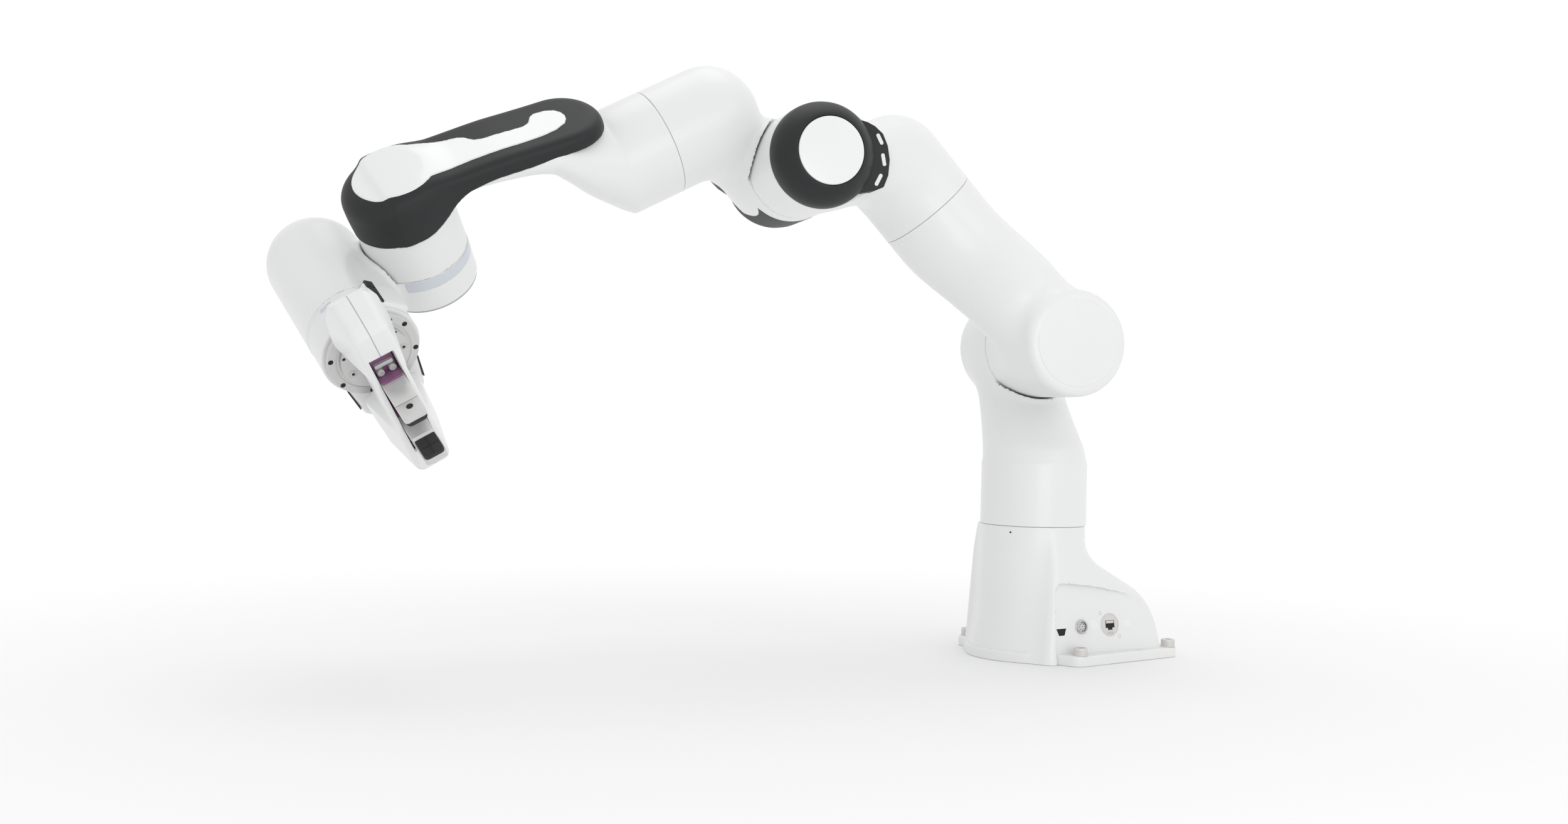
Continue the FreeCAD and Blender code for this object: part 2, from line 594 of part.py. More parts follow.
FINGER_HALF = 9.9
CARRIAGE_Z = BELT_Z + PULLEY_R + BELT + 0.3
FINGER_ROOT = 62.0
FINGER_TIP = 126.0
FINGER_BACK = 10.5             # finger's back face behind its contact face
PAD_THICK = 4.0
PAD_FOOT = 101.0
PAD_TIP = 129.0
for name, side in (("far", 1), ("near", -1)):
    facing = hand if side > 0 else hand.multiply(turn(Z, 180))
    face = FINGER_OPENING + 0.15
    carriage = block((-FINGER_HALF, face + 2, CARRIAGE_Z), (FINGER_HALF, face + 30, FINGER_ROOT))
    keep("carriage_" + name, carriage, facing)
    outline = [
        (face + PAD_THICK, FINGER_ROOT), (face + FINGER_BACK, FINGER_ROOT), (face + FINGER_BACK, FINGER_TIP),
        (face + PAD_THICK, FINGER_TIP),
    ]
    finger = prism(outline, "x", -FINGER_HALF, FINGER_HALF)
    finger = soften(finger, 4, lambda e: e.BoundBox.ZMin > FINGER_TIP - 0.1 and e.BoundBox.YLength > 5)
    finger = finger.cut(rod(2.2, face, face + 30, Y, (0, 0, 114)))
    keep("finger_" + name, finger, facing)
    pad = block((-FINGER_HALF + 0.4, face, PAD_FOOT), (FINGER_HALF - 0.4, face + PAD_THICK, PAD_TIP))
    pad = soften(pad, 4, lambda e: e.BoundBox.ZMin > PAD_TIP - 0.1 and e.BoundBox.YLength > 2)
    pad = pad.cut(block((-0.9, face - 1, PAD_FOOT - 1), (0.9, face + 1.5, PAD_TIP + 1)))
    pad = pad.cut(block((-12, face - 1, 114), (12, face + 1.5, 115.8)))
    keep("pad_" + name, pad, facing)
    clamp = [
        block((-8.8, face + FINGER_BACK + 1, FINGER_ROOT), (8.8, face + 26, FINGER_ROOT + 1)),
        block((-8.5, face + 20.5, FINGER_ROOT), (8.5, face + 25.5, FINGER_ROOT + 4)),
    ]
    clamp += [rod(2.6, FINGER_ROOT, FINGER_ROOT + 5, Z, (x, face + 15.5, 0)) for x in (-5.2, 5.2)]
    keep("belt_clamp_" + name, fuse(clamp), facing)

# Every node is one closed solid and none is empty.
for name, shape in nodes.items():
    if len(shape.Solids) != 1 or not shape.isValid() or shape.Volume < 1:
        volumes = sorted(round(one.Volume, 1) for one in shape.Solids)
        print("check", name, shape.isValid(), volumes)
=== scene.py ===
"""Looks of the collaborative robot arm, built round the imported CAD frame."""
import math

import bmesh
import bpy
import numpy as np
from mathutils import Matrix, Vector


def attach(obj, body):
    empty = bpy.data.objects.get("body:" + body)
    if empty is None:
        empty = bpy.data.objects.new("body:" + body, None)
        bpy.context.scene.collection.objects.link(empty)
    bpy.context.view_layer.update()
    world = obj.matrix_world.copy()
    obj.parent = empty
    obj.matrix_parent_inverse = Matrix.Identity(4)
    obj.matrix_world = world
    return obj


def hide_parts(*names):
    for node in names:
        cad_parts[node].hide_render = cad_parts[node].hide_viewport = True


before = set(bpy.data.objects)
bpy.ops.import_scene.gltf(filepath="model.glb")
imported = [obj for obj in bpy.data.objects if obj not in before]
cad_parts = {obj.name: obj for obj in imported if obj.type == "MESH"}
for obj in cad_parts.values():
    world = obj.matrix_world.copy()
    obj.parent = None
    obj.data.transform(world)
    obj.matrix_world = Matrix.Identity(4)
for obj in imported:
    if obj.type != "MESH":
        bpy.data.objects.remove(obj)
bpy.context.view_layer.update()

MM = 0.001

# ---------------------------------------------------------------- rest pose --
REST = [-20.5, 43.2, 1.4, -75.1, 48.5, 89.6, 47.4]
FLANGE_REACH = 103.0
LIMB_R = 53.8
BULB_R = 46.4
FINGER_OPENING = 20.0
BASE_HEIGHT, UPPER_ARM, FOREARM = 333.0, 316.0, 384.0
ELBOW_OFFSET, WRIST_OFFSET = 82.5, 88.0


def rotation(axis, degrees):
    c, s = math.cos(math.radians(degrees)), math.sin(math.radians(degrees))
    m = np.eye(4)
    i, j = {"x": (1, 2), "z": (0, 1)}[axis]
    m[i, i], m[i, j], m[j, i], m[j, j] = c, -s, s, c
    return m


def offset(x, y, z):
    m = np.eye(4)
    m[:3, 3] = (x, y, z)
    return m


F0 = np.eye(4)
F1 = offset(0, 0, BASE_HEIGHT) @ rotation("z", REST[0])
F2 = F1 @ rotation("x", -90) @ rotation("z", REST[1])
F3 = F2 @ offset(0, -UPPER_ARM, 0) @ rotation("x", 90) @ rotation("z", REST[2])
F4 = F3 @ offset(ELBOW_OFFSET, 0, 0) @ rotation("x", 90) @ rotation("z", REST[3])
F5 = F4 @ offset(-ELBOW_OFFSET, FOREARM, 0) @ rotation("x", -90) @ rotation("z", REST[4])
F6 = F5 @ rotation("x", 90) @ rotation("z", REST[5])
F7 = F6 @ offset(WRIST_OFFSET, 0, 0) @ rotation("x", 90) @ rotation("z", REST[6])
F9 = F7 @ offset(0, 0, FLANGE_REACH) @ rotation("z", -45)
E3 = F3 @ offset(ELBOW_OFFSET, 0, 0) @ rotation("x", 90)
E4 = F4 @ rotation("x", 180)


# ------------------------------------------------------------ distance fields --
def smin(a, b, k):
    h = np.clip(0.5 + 0.5 * (b - a) / k, 0, 1)
    return b + (a - b) * h - k * h * (1 - h)


def smax(a, b, k):
    return -smin(-a, -b, k)


def lerp_table(t, table):
    """Smooth curve through (t, value...) rows, one array per value."""
    rows = np.array(table, float)
    out = []
    idx = np.clip(np.searchsorted(rows[:, 0], t) - 1, 0, len(rows) - 2)
    x0, x1 = rows[idx, 0], rows[idx + 1, 0]
    u = np.clip((t - x0) / (x1 - x0), 0, 1)
    for c in range(1, rows.shape[1]):
        y = rows[:, c]
        d = np.diff(y) / np.diff(rows[:, 0])
        m = np.zeros(len(y))
        m[1:-1] = np.where(d[:-1] * d[1:] > 0, 2 * d[:-1] * d[1:] / (d[:-1] + d[1:] + 1e-12), 0)
        m[0], m[-1] = d[0], d[-1]
        w = x1 - x0
        u2, u3 = u * u, u * u * u
        out.append((2 * u3 - 3 * u2 + 1) * y[idx] + (u3 - 2 * u2 + u) * w * m[idx]
                   + (-2 * u3 + 3 * u2) * y[idx + 1] + (u3 - u2) * w * m[idx + 1])
    return out


def cylinder(p, axis, radius, low, high, edge=0.0, at=(0, 0, 0)):
    """Round rod along one axis, with its rims rounded."""
    a = "xyz".index(axis)
    b, c = [i for i in range(3) if i != a]
    r = np.hypot(p[:, b] - at[b], p[:, c] - at[c]) - radius
    t = p[:, a] - at[a]
    e = np.maximum(low - t, t - high)
    if edge <= 0:
        return np.maximum(r, e)
    r, e = r + edge, e + edge
    return np.minimum(np.maximum(r, e), 0) + np.hypot(np.maximum(r, 0), np.maximum(e, 0)) - edge


def sphere(p, at, radius):
    return np.linalg.norm(p - np.array(at, float), axis=1) - radius


def slab(p, low, high, edge=0.0):
    low, high = np.array(low, float), np.array(high, float)
    q = np.abs(p - (low + high) / 2) - (high - low) / 2 + edge
    return np.linalg.norm(np.maximum(q, 0), axis=1) + np.minimum(q.max(axis=1), 0) - edge


def swept(p, axis, table):
    """Limb with an oval section that shifts along one axis.

    Rows are station, two centre coordinates and two half widths."""
    a = "xyz".index(axis)
    b, c = [i for i in range(3) if i != a]
    cb, cc, rb, rc = lerp_table(p[:, a], table)
    u, v = (p[:, b] - cb) / rb, (p[:, c] - cc) / rc
    n = np.hypot(u, v)
    g = np.hypot(u / rb, v / rc) / np.maximum(n, 1e-6)
    return (n - 1) / np.maximum(g, 1e-6)


def tube_path(p, points):
    """Round limb through points with radii, (x, y, z, r) rows."""
    best = None
    rows = np.array(points, float)
    for p0, p1 in zip(rows[:-1], rows[1:]):
        d = p1[:3] - p0[:3]
        t = np.clip(((p - p0[:3]) @ d) / (d @ d), 0, 1)
        dist = np.linalg.norm(p - p0[:3] - t[:, None] * d, axis=1) - (p0[3] + t * (p1[3] - p0[3]))
        best = dist if best is None else np.minimum(best, dist)
    return best


# ------------------------------------------------------------------- meshing --
def field_grid(field, low, high, h):
    low, high = np.array(low, float), np.array(high, float)
    n = np.ceil((high - low) / h / 4).astype(int) * 4 + 1
    axes = [low[i] + h * np.arange(n[i]) for i in range(3)]
    coarse = np.stack(np.meshgrid(*[a[::4] for a in axes], indexing="ij"), -1)
    rough = field(coarse.reshape(-1, 3)).reshape(coarse.shape[:3])
    near = np.abs(rough) < 9 * h
    idx = [np.minimum((np.arange(k) + 2) // 4, len(a[::4]) - 1) for k, a in zip(n, axes)]
    grid = np.ix_(*idx)
    values = rough[grid].copy()
    mask = near[grid]
    where = np.argwhere(mask)
    pts = low + where * h
    out = np.empty(len(pts))
    for s in range(0, len(pts), 400000):
        out[s:s + 400000] = field(pts[s:s + 400000])
    values[mask] = out
    return values, low


def surface_net(values, low, h):
    s = values < 0
    nx, ny, nz = values.shape
    count = np.zeros((nx - 1, ny - 1, nz - 1), np.int32)
    total = np.zeros((nx - 1, ny - 1, nz - 1, 3))
    quads = []
    full = [slice(None)] * 3
    for a in range(3):
        lo, hi = list(full), list(full)
        lo[a], hi[a] = slice(None, -1), slice(1, None)
        v0, v1 = values[tuple(lo)], values[tuple(hi)]
        cross = (v0 < 0) != (v1 < 0)
        where = np.argwhere(cross)
        t = v0[cross] / (v0[cross] - v1[cross])
        pos = where.astype(float)
        pos[:, a] += t
        b, c = (a + 1) % 3, (a + 2) % 3
        ring = []
        inner = ((where[:, b] > 0) & (where[:, b] < values.shape[b] - 1)
                 & (where[:, c] > 0) & (where[:, c] < values.shape[c] - 1))
        for db, dc in ((0, 0), (-1, 0), (-1, -1), (0, -1)):
            cell = where[inner].copy()
            cell[:, b] += db
            cell[:, c] += dc
            flat = np.ravel_multi_index(cell.T, count.shape)
            np.add.at(count.reshape(-1), flat, 1)
            np.add.at(total.reshape(-1, 3), flat, pos[inner])
            ring.append(flat)
        ring = np.stack(ring, 1)
        flip = v0[cross][inner] >= 0
        ring[flip] = ring[flip][:, ::-1]
        quads.append(ring)
    used = np.flatnonzero(count.reshape(-1))
    verts = total.reshape(-1, 3)[used] / count.reshape(-1)[used][:, None] * h + low
    remap = np.zeros(count.size, np.int64)
    remap[used] = np.arange(len(used))
    return verts, remap[np.concatenate(quads)]


def snap(field, verts, h, rounds=3):
    """Newton steps onto the true surface."""
    e = 0.05
    for _ in range(rounds):
        f = field(verts)
        g = np.stack([(field(verts + np.eye(3)[i] * e) - field(verts - np.eye(3)[i] * e)) / (2 * e)
                      for i in range(3)], 1)
        step = f[:, None] * g / np.maximum((g * g).sum(1), 0.05)[:, None]
        length = np.linalg.norm(step, axis=1, keepdims=True)
        verts = verts - step * np.minimum(1, 0.6 * h / np.maximum(length, 1e-9))
    return verts


def to_object(name, verts, faces, frame_matrix, body, material, smooth=True):
    world = (verts @ frame_matrix[:3, :3].T + frame_matrix[:3, 3]) * MM
    mesh = bpy.data.meshes.new(name)
    mesh.from_pydata([tuple(v) for v in world], [], [tuple(int(i) for i in f) for f in faces])
    mesh.validate()
    obj = bpy.data.objects.new(name, mesh)
    bpy.context.scene.collection.objects.link(obj)
    if smooth:
        mesh.polygons.foreach_set("use_smooth", [True] * len(mesh.polygons))
    mesh.materials.append(material)
    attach(obj, body)
    return obj


def sharpen(obj, degrees=32):
    """Creases where the surface bends sharply."""
    mesh = obj.data
    bm = bmesh.new()
    bm.from_mesh(mesh)
    limit = math.radians(degrees)
    for edge in bm.edges:
        edge.smooth = len(edge.link_faces) != 2 or edge.calc_face_angle(0) < limit
    bm.to_mesh(mesh)
    bm.free()


def sculpt(name, field, low, high, h, frame_matrix, body, material, cuts=(), bevel=0.45):
    """Mesh a distance field in a link's frame, cut flat at its seams."""
    values, origin = field_grid(field, low, high, h)
    verts, faces = surface_net(values, origin, h)
    verts = snap(field, verts, h)
    obj = to_object(name, verts, faces, frame_matrix, body, material)
    if cuts:
        bm = bmesh.new()
        bm.from_mesh(obj.data)
        rot, pos = frame_matrix[:3, :3], frame_matrix[:3, 3]
        for point, normal in cuts:
            wp = (rot @ np.array(point, float) + pos) * MM
            wn = rot @ np.array(normal, float)
            geom = bm.verts[:] + bm.edges[:] + bm.faces[:]
            cut = bmesh.ops.bisect_plane(bm, geom=geom, dist=1e-6, plane_co=wp, plane_no=wn, clear_outer=True)
            edges = [g for g in cut["geom_cut"] if isinstance(g, bmesh.types.BMEdge)]
            made = bmesh.ops.holes_fill(bm, edges=edges, sides=0)["faces"]
            if made and bevel > 0:
                inset = bmesh.ops.inset_region(bm, faces=made, thickness=bevel * MM, depth=0)
                wn_v = Vector(wn)
                rim = set(v for f in inset["faces"] for v in f.verts) - set(v for f in made for v in f.verts)
                for v in rim:
                    v.co -= wn_v * bevel * MM
        bm.to_mesh(obj.data)
        bm.free()
        obj.data.polygons.foreach_set("use_smooth", [True] * len(obj.data.polygons))
        sharpen(obj, 40)
    return obj


# ----------------------------------------------------------------- materials --
def principled(name, color, roughness, metallic=0.0, coat=0.0, spread=0.02, bump=0.02, scale=600.0,
               rough_spread=0.05, specular=0.5):
    """Painted, moulded or machined surface with fine procedural variation."""
    mat = bpy.data.materials.new(name)
    mat.use_nodes = True
    tree = mat.node_tree
    shader = tree.nodes["Principled BSDF"]
    shader.inputs["Metallic"].default_value = metallic
    shader.inputs["Coat Weight"].default_value = coat
    shader.inputs["Coat Roughness"].default_value = 0.08
    shader.inputs["Specular IOR Level"].default_value = specular
    shader.inputs["Base Color"].default_value = (*color, 1)
    shader.inputs["Roughness"].default_value = roughness
    coords = tree.nodes.new("ShaderNodeTexCoord")
    fine = tree.nodes.new("ShaderNodeTexNoise")
    fine.inputs["Scale"].default_value = scale
    fine.inputs["Detail"].default_value = 3
    broad = tree.nodes.new("ShaderNodeTexNoise")
    broad.inputs["Scale"].default_value = 9.0
    broad.inputs["Detail"].default_value = 4
    tree.links.new(coords.outputs["Object"], fine.inputs["Vector"])
    tree.links.new(coords.outputs["Object"], broad.inputs["Vector"])
    tint = tree.nodes.new("ShaderNodeMix")
    tint.data_type = "RGBA"
    low = [max(0, c * (1 - spread)) for c in color]
    high = [min(1, c * (1 + spread)) for c in color]
    tint.inputs[6].default_value = (*low, 1)
    tint.inputs[7].default_value = (*high, 1)
    tree.links.new(broad.outputs["Fac"], tint.inputs[0])
    tree.links.new(tint.outputs[2], shader.inputs["Base Color"])
    rough = tree.nodes.new("ShaderNodeMapRange")
    rough.inputs["To Min"].default_value = max(0.02, roughness - rough_spread)
    rough.inputs["To Max"].default_value = min(1, roughness + rough_spread)
    tree.links.new(broad.outputs["Fac"], rough.inputs["Value"])
    tree.links.new(rough.outputs["Result"], shader.inputs["Roughness"])
    relief = tree.nodes.new("ShaderNodeBump")
    relief.inputs["Strength"].default_value = bump
    relief.inputs["Distance"].default_value = 0.0002
    tree.links.new(fine.outputs["Fac"], relief.inputs["Height"])
    tree.links.new(relief.outputs["Normal"], shader.inputs["Normal"])
    return mat


white = principled("white_paint", (0.775, 0.78, 0.78), 0.36, coat=0.15, bump=0.05, scale=900)
white_trim = principled("white_trim", (0.80, 0.805, 0.805), 0.25, coat=0.25, bump=0.01)
dark = principled("dark_cover", (0.020, 0.021, 0.022), 0.5, specular=0.3, bump=0.12, scale=1500, spread=0.1)
grey_light = principled("grey_band", (0.6, 0.63, 0.68), 0.3, bump=0.02)
alu = principled("satin_aluminium", (0.63, 0.63, 0.625), 0.34, metallic=0.35, bump=0.05, scale=1400)
steel = principled("bright_steel", (0.6, 0.6, 0.6), 0.24, metallic=1.0, bump=0.03)
screw_pale = principled("pale_screw", (0.66, 0.64, 0.62), 0.4, metallic=0.3, bump=0.04)
rubber = principled("black_rubber", (0.018, 0.018, 0.019), 0.6, bump=0.2, scale=2200, spread=0.1)
# Mid grey for the lips down in the seams and for the wrist's shadow ring: painted shade for the dark of the
# gaps.
seam_shade_grey = principled("seam_shade_grey", (0.42, 0.42, 0.425), 0.7, bump=0.02)
purple = principled("purple_liner", (0.23, 0.10, 0.20), 0.35, bump=0.03)
# Near-black finish for holes, sockets, slots and grooves that are not cut into the surfaces: painted shade
# standing in for the dark inside them.
painted_recess_shade = principled("cavity_painted_shade", (0.01, 0.01, 0.01), 0.8, bump=0.02)


# ------------------------------------------------------------ simple pieces --
def smooth_mesh(bm, name, frame_matrix, body, material, bevel=0.0, angle=35):
    for v in bm.verts:
        q = frame_matrix[:3, :3] @ np.array(v.co) + frame_matrix[:3, 3]
        v.co = Vector(q * MM)
    bmesh.ops.recalc_face_normals(bm, faces=bm.faces[:])
    if bevel > 0:
        limit = math.radians(angle)
        edges = [e for e in bm.edges if len(e.link_faces) == 2 and e.calc_face_angle(0) > limit]
        bmesh.ops.bevel(bm, geom=edges, offset=bevel * MM, segments=2, affect="EDGES", profile=0.6)
    mesh = bpy.data.meshes.new(name)
    bm.to_mesh(mesh)
    bm.free()
    mesh.polygons.foreach_set("use_smooth", [True] * len(mesh.polygons))
    obj = bpy.data.objects.new(name, mesh)
    bpy.context.scene.collection.objects.link(obj)
    mesh.materials.append(material)
    sharpen(obj, angle)
    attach(obj, body)
    return obj


def lathe(name, profile, frame_matrix, body, material, steps=96, arc=(0, 360), closed=False):
    """Revolve (radius, height) pairs about Z; closed joins the last pair to the first."""
    bm = bmesh.new()
    full = abs(arc[1] - arc[0]) >= 360
    count = steps if full else steps + 1
    rows = []
    for r, z in profile:
        ring = []
        for k in range(count):
            a = math.radians(arc[0] + (arc[1] - arc[0]) * k / steps)
            ring.append(bm.verts.new((r * math.cos(a), r * math.sin(a), z)))
        rows.append(ring)
    pairs = list(zip(rows[:-1], rows[1:]))
    if closed:
        pairs.append((rows[-1], rows[0]))
    for lower, upper in pairs:
        for k in range(steps):
            n = (k + 1) % count
            bm.faces.new((lower[k], lower[n], upper[n], upper[k]))
    if not full and closed:
        bm.faces.new([ring[0] for ring in rows])
        bm.faces.new([ring[-1] for ring in reversed(rows)])
    bmesh.ops.remove_doubles(bm, verts=bm.verts[:], dist=1e-4)
    return smooth_mesh(bm, name, frame_matrix, body, material, angle=30)


def prism(name, points, low, high, frame_matrix, body, material, bevel=0.3):
    """Push an (x, y) outline along Z."""
    bm = bmesh.new()
    bottom = [bm.verts.new((x, y, low)) for x, y in points]
    top = [bm.verts.new((x, y, high)) for x, y in points]
    n = len(points)
    bm.faces.new(bottom[::-1])
    bm.faces.new(top)
    for k in range(n):
        m = (k + 1) % n
        bm.faces.new((bottom[k], bottom[m], top[m], top[k]))
    return smooth_mesh(bm, name, frame_matrix, body, material, bevel=bevel)


def rounded_box(width, height, radius, steps=5):
    """Outline of a rectangle with round corners, centred on the origin."""
    points = []
    for cx, cy, start in ((1, 1, 0), (-1, 1, 90), (-1, -1, 180), (1, -1, 270)):
        for k in range(steps + 1):
            a = math.radians(start + 90 * k / steps)
            points.append((cx * (width / 2 - radius) + radius * math.cos(a),
                           cy * (height / 2 - radius) + radius * math.sin(a)))
    return points


def axes_frame(origin, x_dir, z_dir):
    """Frame at a point with Z along z_dir and X as near x_dir as it can be."""
    z = np.array(z_dir, float)
    z /= np.linalg.norm(z)
    x = np.array(x_dir, float)
    x -= z * (x @ z)
    x /= np.linalg.norm(x)
    m = np.eye(4)
    m[:3, 0], m[:3, 1], m[:3, 2], m[:3, 3] = x, np.cross(z, x), z, origin
    return m


def polygon_distance(u, v, points):
    """Signed distance to a closed outline."""
    best = np.full(len(u), 1e18)
    inside = np.zeros(len(u), bool)
    n = len(points)
    for k in range(n):
        x0, y0 = points[k]
        x1, y1 = points[(k + 1) % n]
        dx, dy = x1 - x0, y1 - y0
        t = np.clip(((u - x0) * dx + (v - y0) * dy) / (dx * dx + dy * dy), 0, 1)
        best = np.minimum(best, (u - x0 - t * dx) ** 2 + (v - y0 - t * dy) ** 2)
        cross = ((y0 > v) != (y1 > v)) & (u < (x1 - x0) * (v - y0) / (y1 - y0 + 1e-12) + x0)
        inside ^= cross
    return np.where(inside, -1, 1) * np.sqrt(best)


def seam_ring(name, radius, low, high, frame_matrix, body, axis="z", depth=3.0):
    """Grey lip down in the gap between two casings; its grey tone is painted shade for the seam."""
    stand = {"z": np.eye(4), "y": rotation("x", -90)}[axis]
    lathe(name, [(radius, low), (radius, high), (radius - depth, high), (radius - depth, low)],
          frame_matrix @ stand, body, seam_shade_grey, closed=True)


# ---------------------------------------------------------------------- base --
PANEL_N = np.array([0.1314, 1.0, 0.145])
PANEL_N /= np.linalg.norm(PANEL_N)
PANEL_C = 71.2


def foot_field(p):
    radius = lerp_table(p[:, 2], [(-6, 70.5), (0, 68.5), (8, 66), (16, 63.6), (35, 59.8), (61, 56.9),
                                  (103, 56.2), (141, 55.6), (160, 55.6)])[0]
    return np.hypot(p[:, 0], p[:, 1]) - radius


def housing_field(p):
    q = p.copy()
    q[:, 1] = np.abs(q[:, 1])
    x, z = q[:, 0], q[:, 2]
    socket_side = p[:, 1] > 0
    side = q @ PANEL_N - PANEL_C
    slope = -0.486 * x + 0.874 * z - 113.0
    body = smax(side - 5.0, slope, 36)
    body = smax(body, -0.995 * x + 0.1 * z - 116.5, 20)
    body = smax(body, 0.42 * x + 0.907 * q[:, 1] - np.where(socket_side, 82 - 0.2 * z, 75.5), 8)
    body = smax(body, x - np.where(socket_side, 44 - 0.2 * z, 34.0), 8)
    shell = smin(foot_field(p), body, 16)
    top = smax(z - 81.3 - 0.105 * x, z - 88.5 - 0.282 * x, 6)
    edge = smax(x - 33 + 0.1 * z, top, 12)
    panel = smax(-side, edge, 1.5)
    return smax(shell, -panel, 1.6)


def plate_field(p):
    r = 10.0
    qx, qy = np.abs(p[:, 0] + 56) - 80 + r, np.abs(p[:, 1]) - 92 + r
    flat = np.hypot(np.maximum(qx, 0), np.maximum(qy, 0)) + np.minimum(np.maximum(qx, qy), 0) - r
    flat = smin(flat, np.hypot(p[:, 0], p[:, 1]) - 68.5, 26)
    return smax(flat, p[:, 2] - 11, 2.0)


UP = (0, 0, 1)
DOWN = (0, 0, -1)
shell = sculpt("base_housing_shell", housing_field, (-126, -100, -4), (80, 100, 150), 2.0, F0, "base", white,
               cuts=[((0, 0, 140.8), UP), ((0, 0, 0.2), DOWN)])
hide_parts("base_housing")
shell = sculpt("base_plate_shell", plate_field, (-144, -100, -4), (78, 100, 15), 1.8, F0, "base", white,
               cuts=[((0, 0, 0.15), DOWN)])
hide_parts("base_plate")
seam_ring("base_seam_lip", 53.4, 139, 143.5, F0, "base")

BOLTS = [(12.0, 84.0), (12.0, -84.0), (-126.0, 84.0), (-126.0, -84.0)]
for k, (bx, by) in enumerate(BOLTS):
    at = offset(bx, by, 0)
    head = [(0, 15), (3.4, 15), (3.5, 18.8), (6.4, 19), (7.2, 18.4), (7.5, 17.4)]
    for g in range(6):
        z = 17.0 - g * 0.9
        head += [(7.5, z), (7.32, z - 0.45)]
    head += [(7.5, 11.4), (8.3, 11.05), (4, 11.0), (4, -15), (3, -16), (0, -16)]
    bolt = lathe("base_bolt_look_%d" % (k + 1), head, at, "base", screw_pale, steps=40)
    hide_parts("base_bolt_%d" % (k + 1))
# The plate's hole is a grey disc on the plate top: painted shade for its inside.
lathe("plate_hole", [(3.2, 10.7), (3.2, 11.08), (0, 11.08)], offset(-75, 87.5, 0), "base", grey_light,
      steps=32)
# The pin hole is a near-black disc on the housing: painted shade for its inside.
lathe("pin_hole", [(0.9, 0), (0.9, 1.1), (0, 1.1)],
      axes_frame((55.2 * math.cos(math.radians(20)), 55.2 * math.sin(math.radians(20)), 134.5),
                 (0, 0, 1), (math.cos(math.radians(20)), math.sin(math.radians(20)), 0)), "base", painted_recess_shade,
                 steps=16)


def panel_frame(x, z):
    """Frame on the side panel: Z out of it, Y up along it, X towards the rear."""
    y = (PANEL_C - PANEL_N[0] * x - PANEL_N[2] * z) / PANEL_N[1]
    return axes_frame((x, y, z), (-1, 0, 0), PANEL_N)


at = panel_frame(-6, 37.5)
outer = [(7.6, -1), (7.6, 0.4), (7.3, 0.9), (6.9, 1.0), (6.9, 2.6), (6.4, 3.1), (5.4, 3.1), (5.1, 2.8),
         (5.1, 0.2), (4.6, -0.2), (4.6, -3.0), (4.2, -3.2), (0, -3.2)]
ring = lathe("round_socket_look", outer, at, "base", steel, steps=48)
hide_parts("round_socket")
lathe("round_socket_insert", [(4.55, -3.1), (4.55, 1.2), (4.3, 1.4), (0, 1.4)], at, "base", alu, steps=32)
# The socket's contact holes are near-black pegs: painted shade inside them.
for k in range(8):
    a = math.radians(45 * k)
    lathe("round_socket_pin_%d" % k, [(0.55, 0), (0.55, 1.5), (0, 1.55)],
          at @ offset(3.2 * math.cos(a), 3.2 * math.sin(a), 0), "base", painted_recess_shade, steps=10)
lathe("round_socket_pin_8", [(0.55, 0), (0.55, 1.5), (0, 1.55)], at, "base", painted_recess_shade, steps=10)
lathe("round_socket_nut", [(8.4, -0.5), (8.4, 0.5), (7.9, 0.8), (7.5, 0.8), (7.5, -0.5)], at, "base", alu,
      steps=6, closed=True)

at = panel_frame(-44.5, 38)
face = lathe("network_socket_look", [(12.1, -2), (12.1, 0.3), (11.7, 0.7), (11.2, 0.7), (11.0, 0.35),
                                     (0, 0.35)],
             at, "base", screw_pale, steps=64)
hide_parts("network_socket")
# The port's opening and its step are near-black sheets: painted shade for the inside of the port.
prism("network_port", [(-6, -4.2), (6, -4.2), (6, 3.6), (-6, 3.6)], 0.2, 0.46, at @ offset(0, 1.0, 0), "base",
      painted_recess_shade, bevel=0.05)
prism("network_port_step", [(-3, -2.2), (3, -2.2), (3, 0), (-3, 0)], 0.2, 0.46, at @ offset(0, -3.2, 0),
      "base",
      painted_recess_shade, bevel=0.05)
prism("network_shade", [(-5.2, 0), (5.2, 0), (5.2, 2.6), (-5.2, 2.6)], 0.44, 0.52, at @ offset(0, 1.6, 0),
      "base", alu, bevel=0.02)
prism("network_latch", rounded_box(7.5, 1.6, 0.7), 0.3, 0.9, at @ offset(0, -8.6, 0), "base", steel,
      bevel=0.15)
# Each screw's hex socket is a near-black disc: painted shade.
for k, (sx, sz) in enumerate(((-32.5, 50.5), (-56.5, 25.5))):
    at = panel_frame(sx, sz)
    lathe("network_screw_%d" % k, [(1.9, -0.6), (1.9, 0.12), (1.5, 0.12), (1.2, -0.4), (0, -0.4)], at, "base",
          steel, steps=20)
    lathe("network_screw_hex_%d" % k, [(0.9, -0.38), (0, -0.36)], at, "base", painted_recess_shade, steps=6)
for k, sx in enumerate((-22.5, -68.0)):
    prism("port_label_%d" % k, rounded_box(11, 10, 2), -0.4, 0.25, panel_frame(sx, 38.4), "base", white_trim,
          bevel=0.12)
# The side port is a shallow near-black recess: painted shade for its inside.
prism("side_port", [(-6.5, 3.6), (6.5, 3.6), (3.6, -3.6), (-3.6, -3.6)], -0.6, 0.12, panel_frame(20.5, 33),
      "base",
      painted_recess_shade, bevel=0.1)

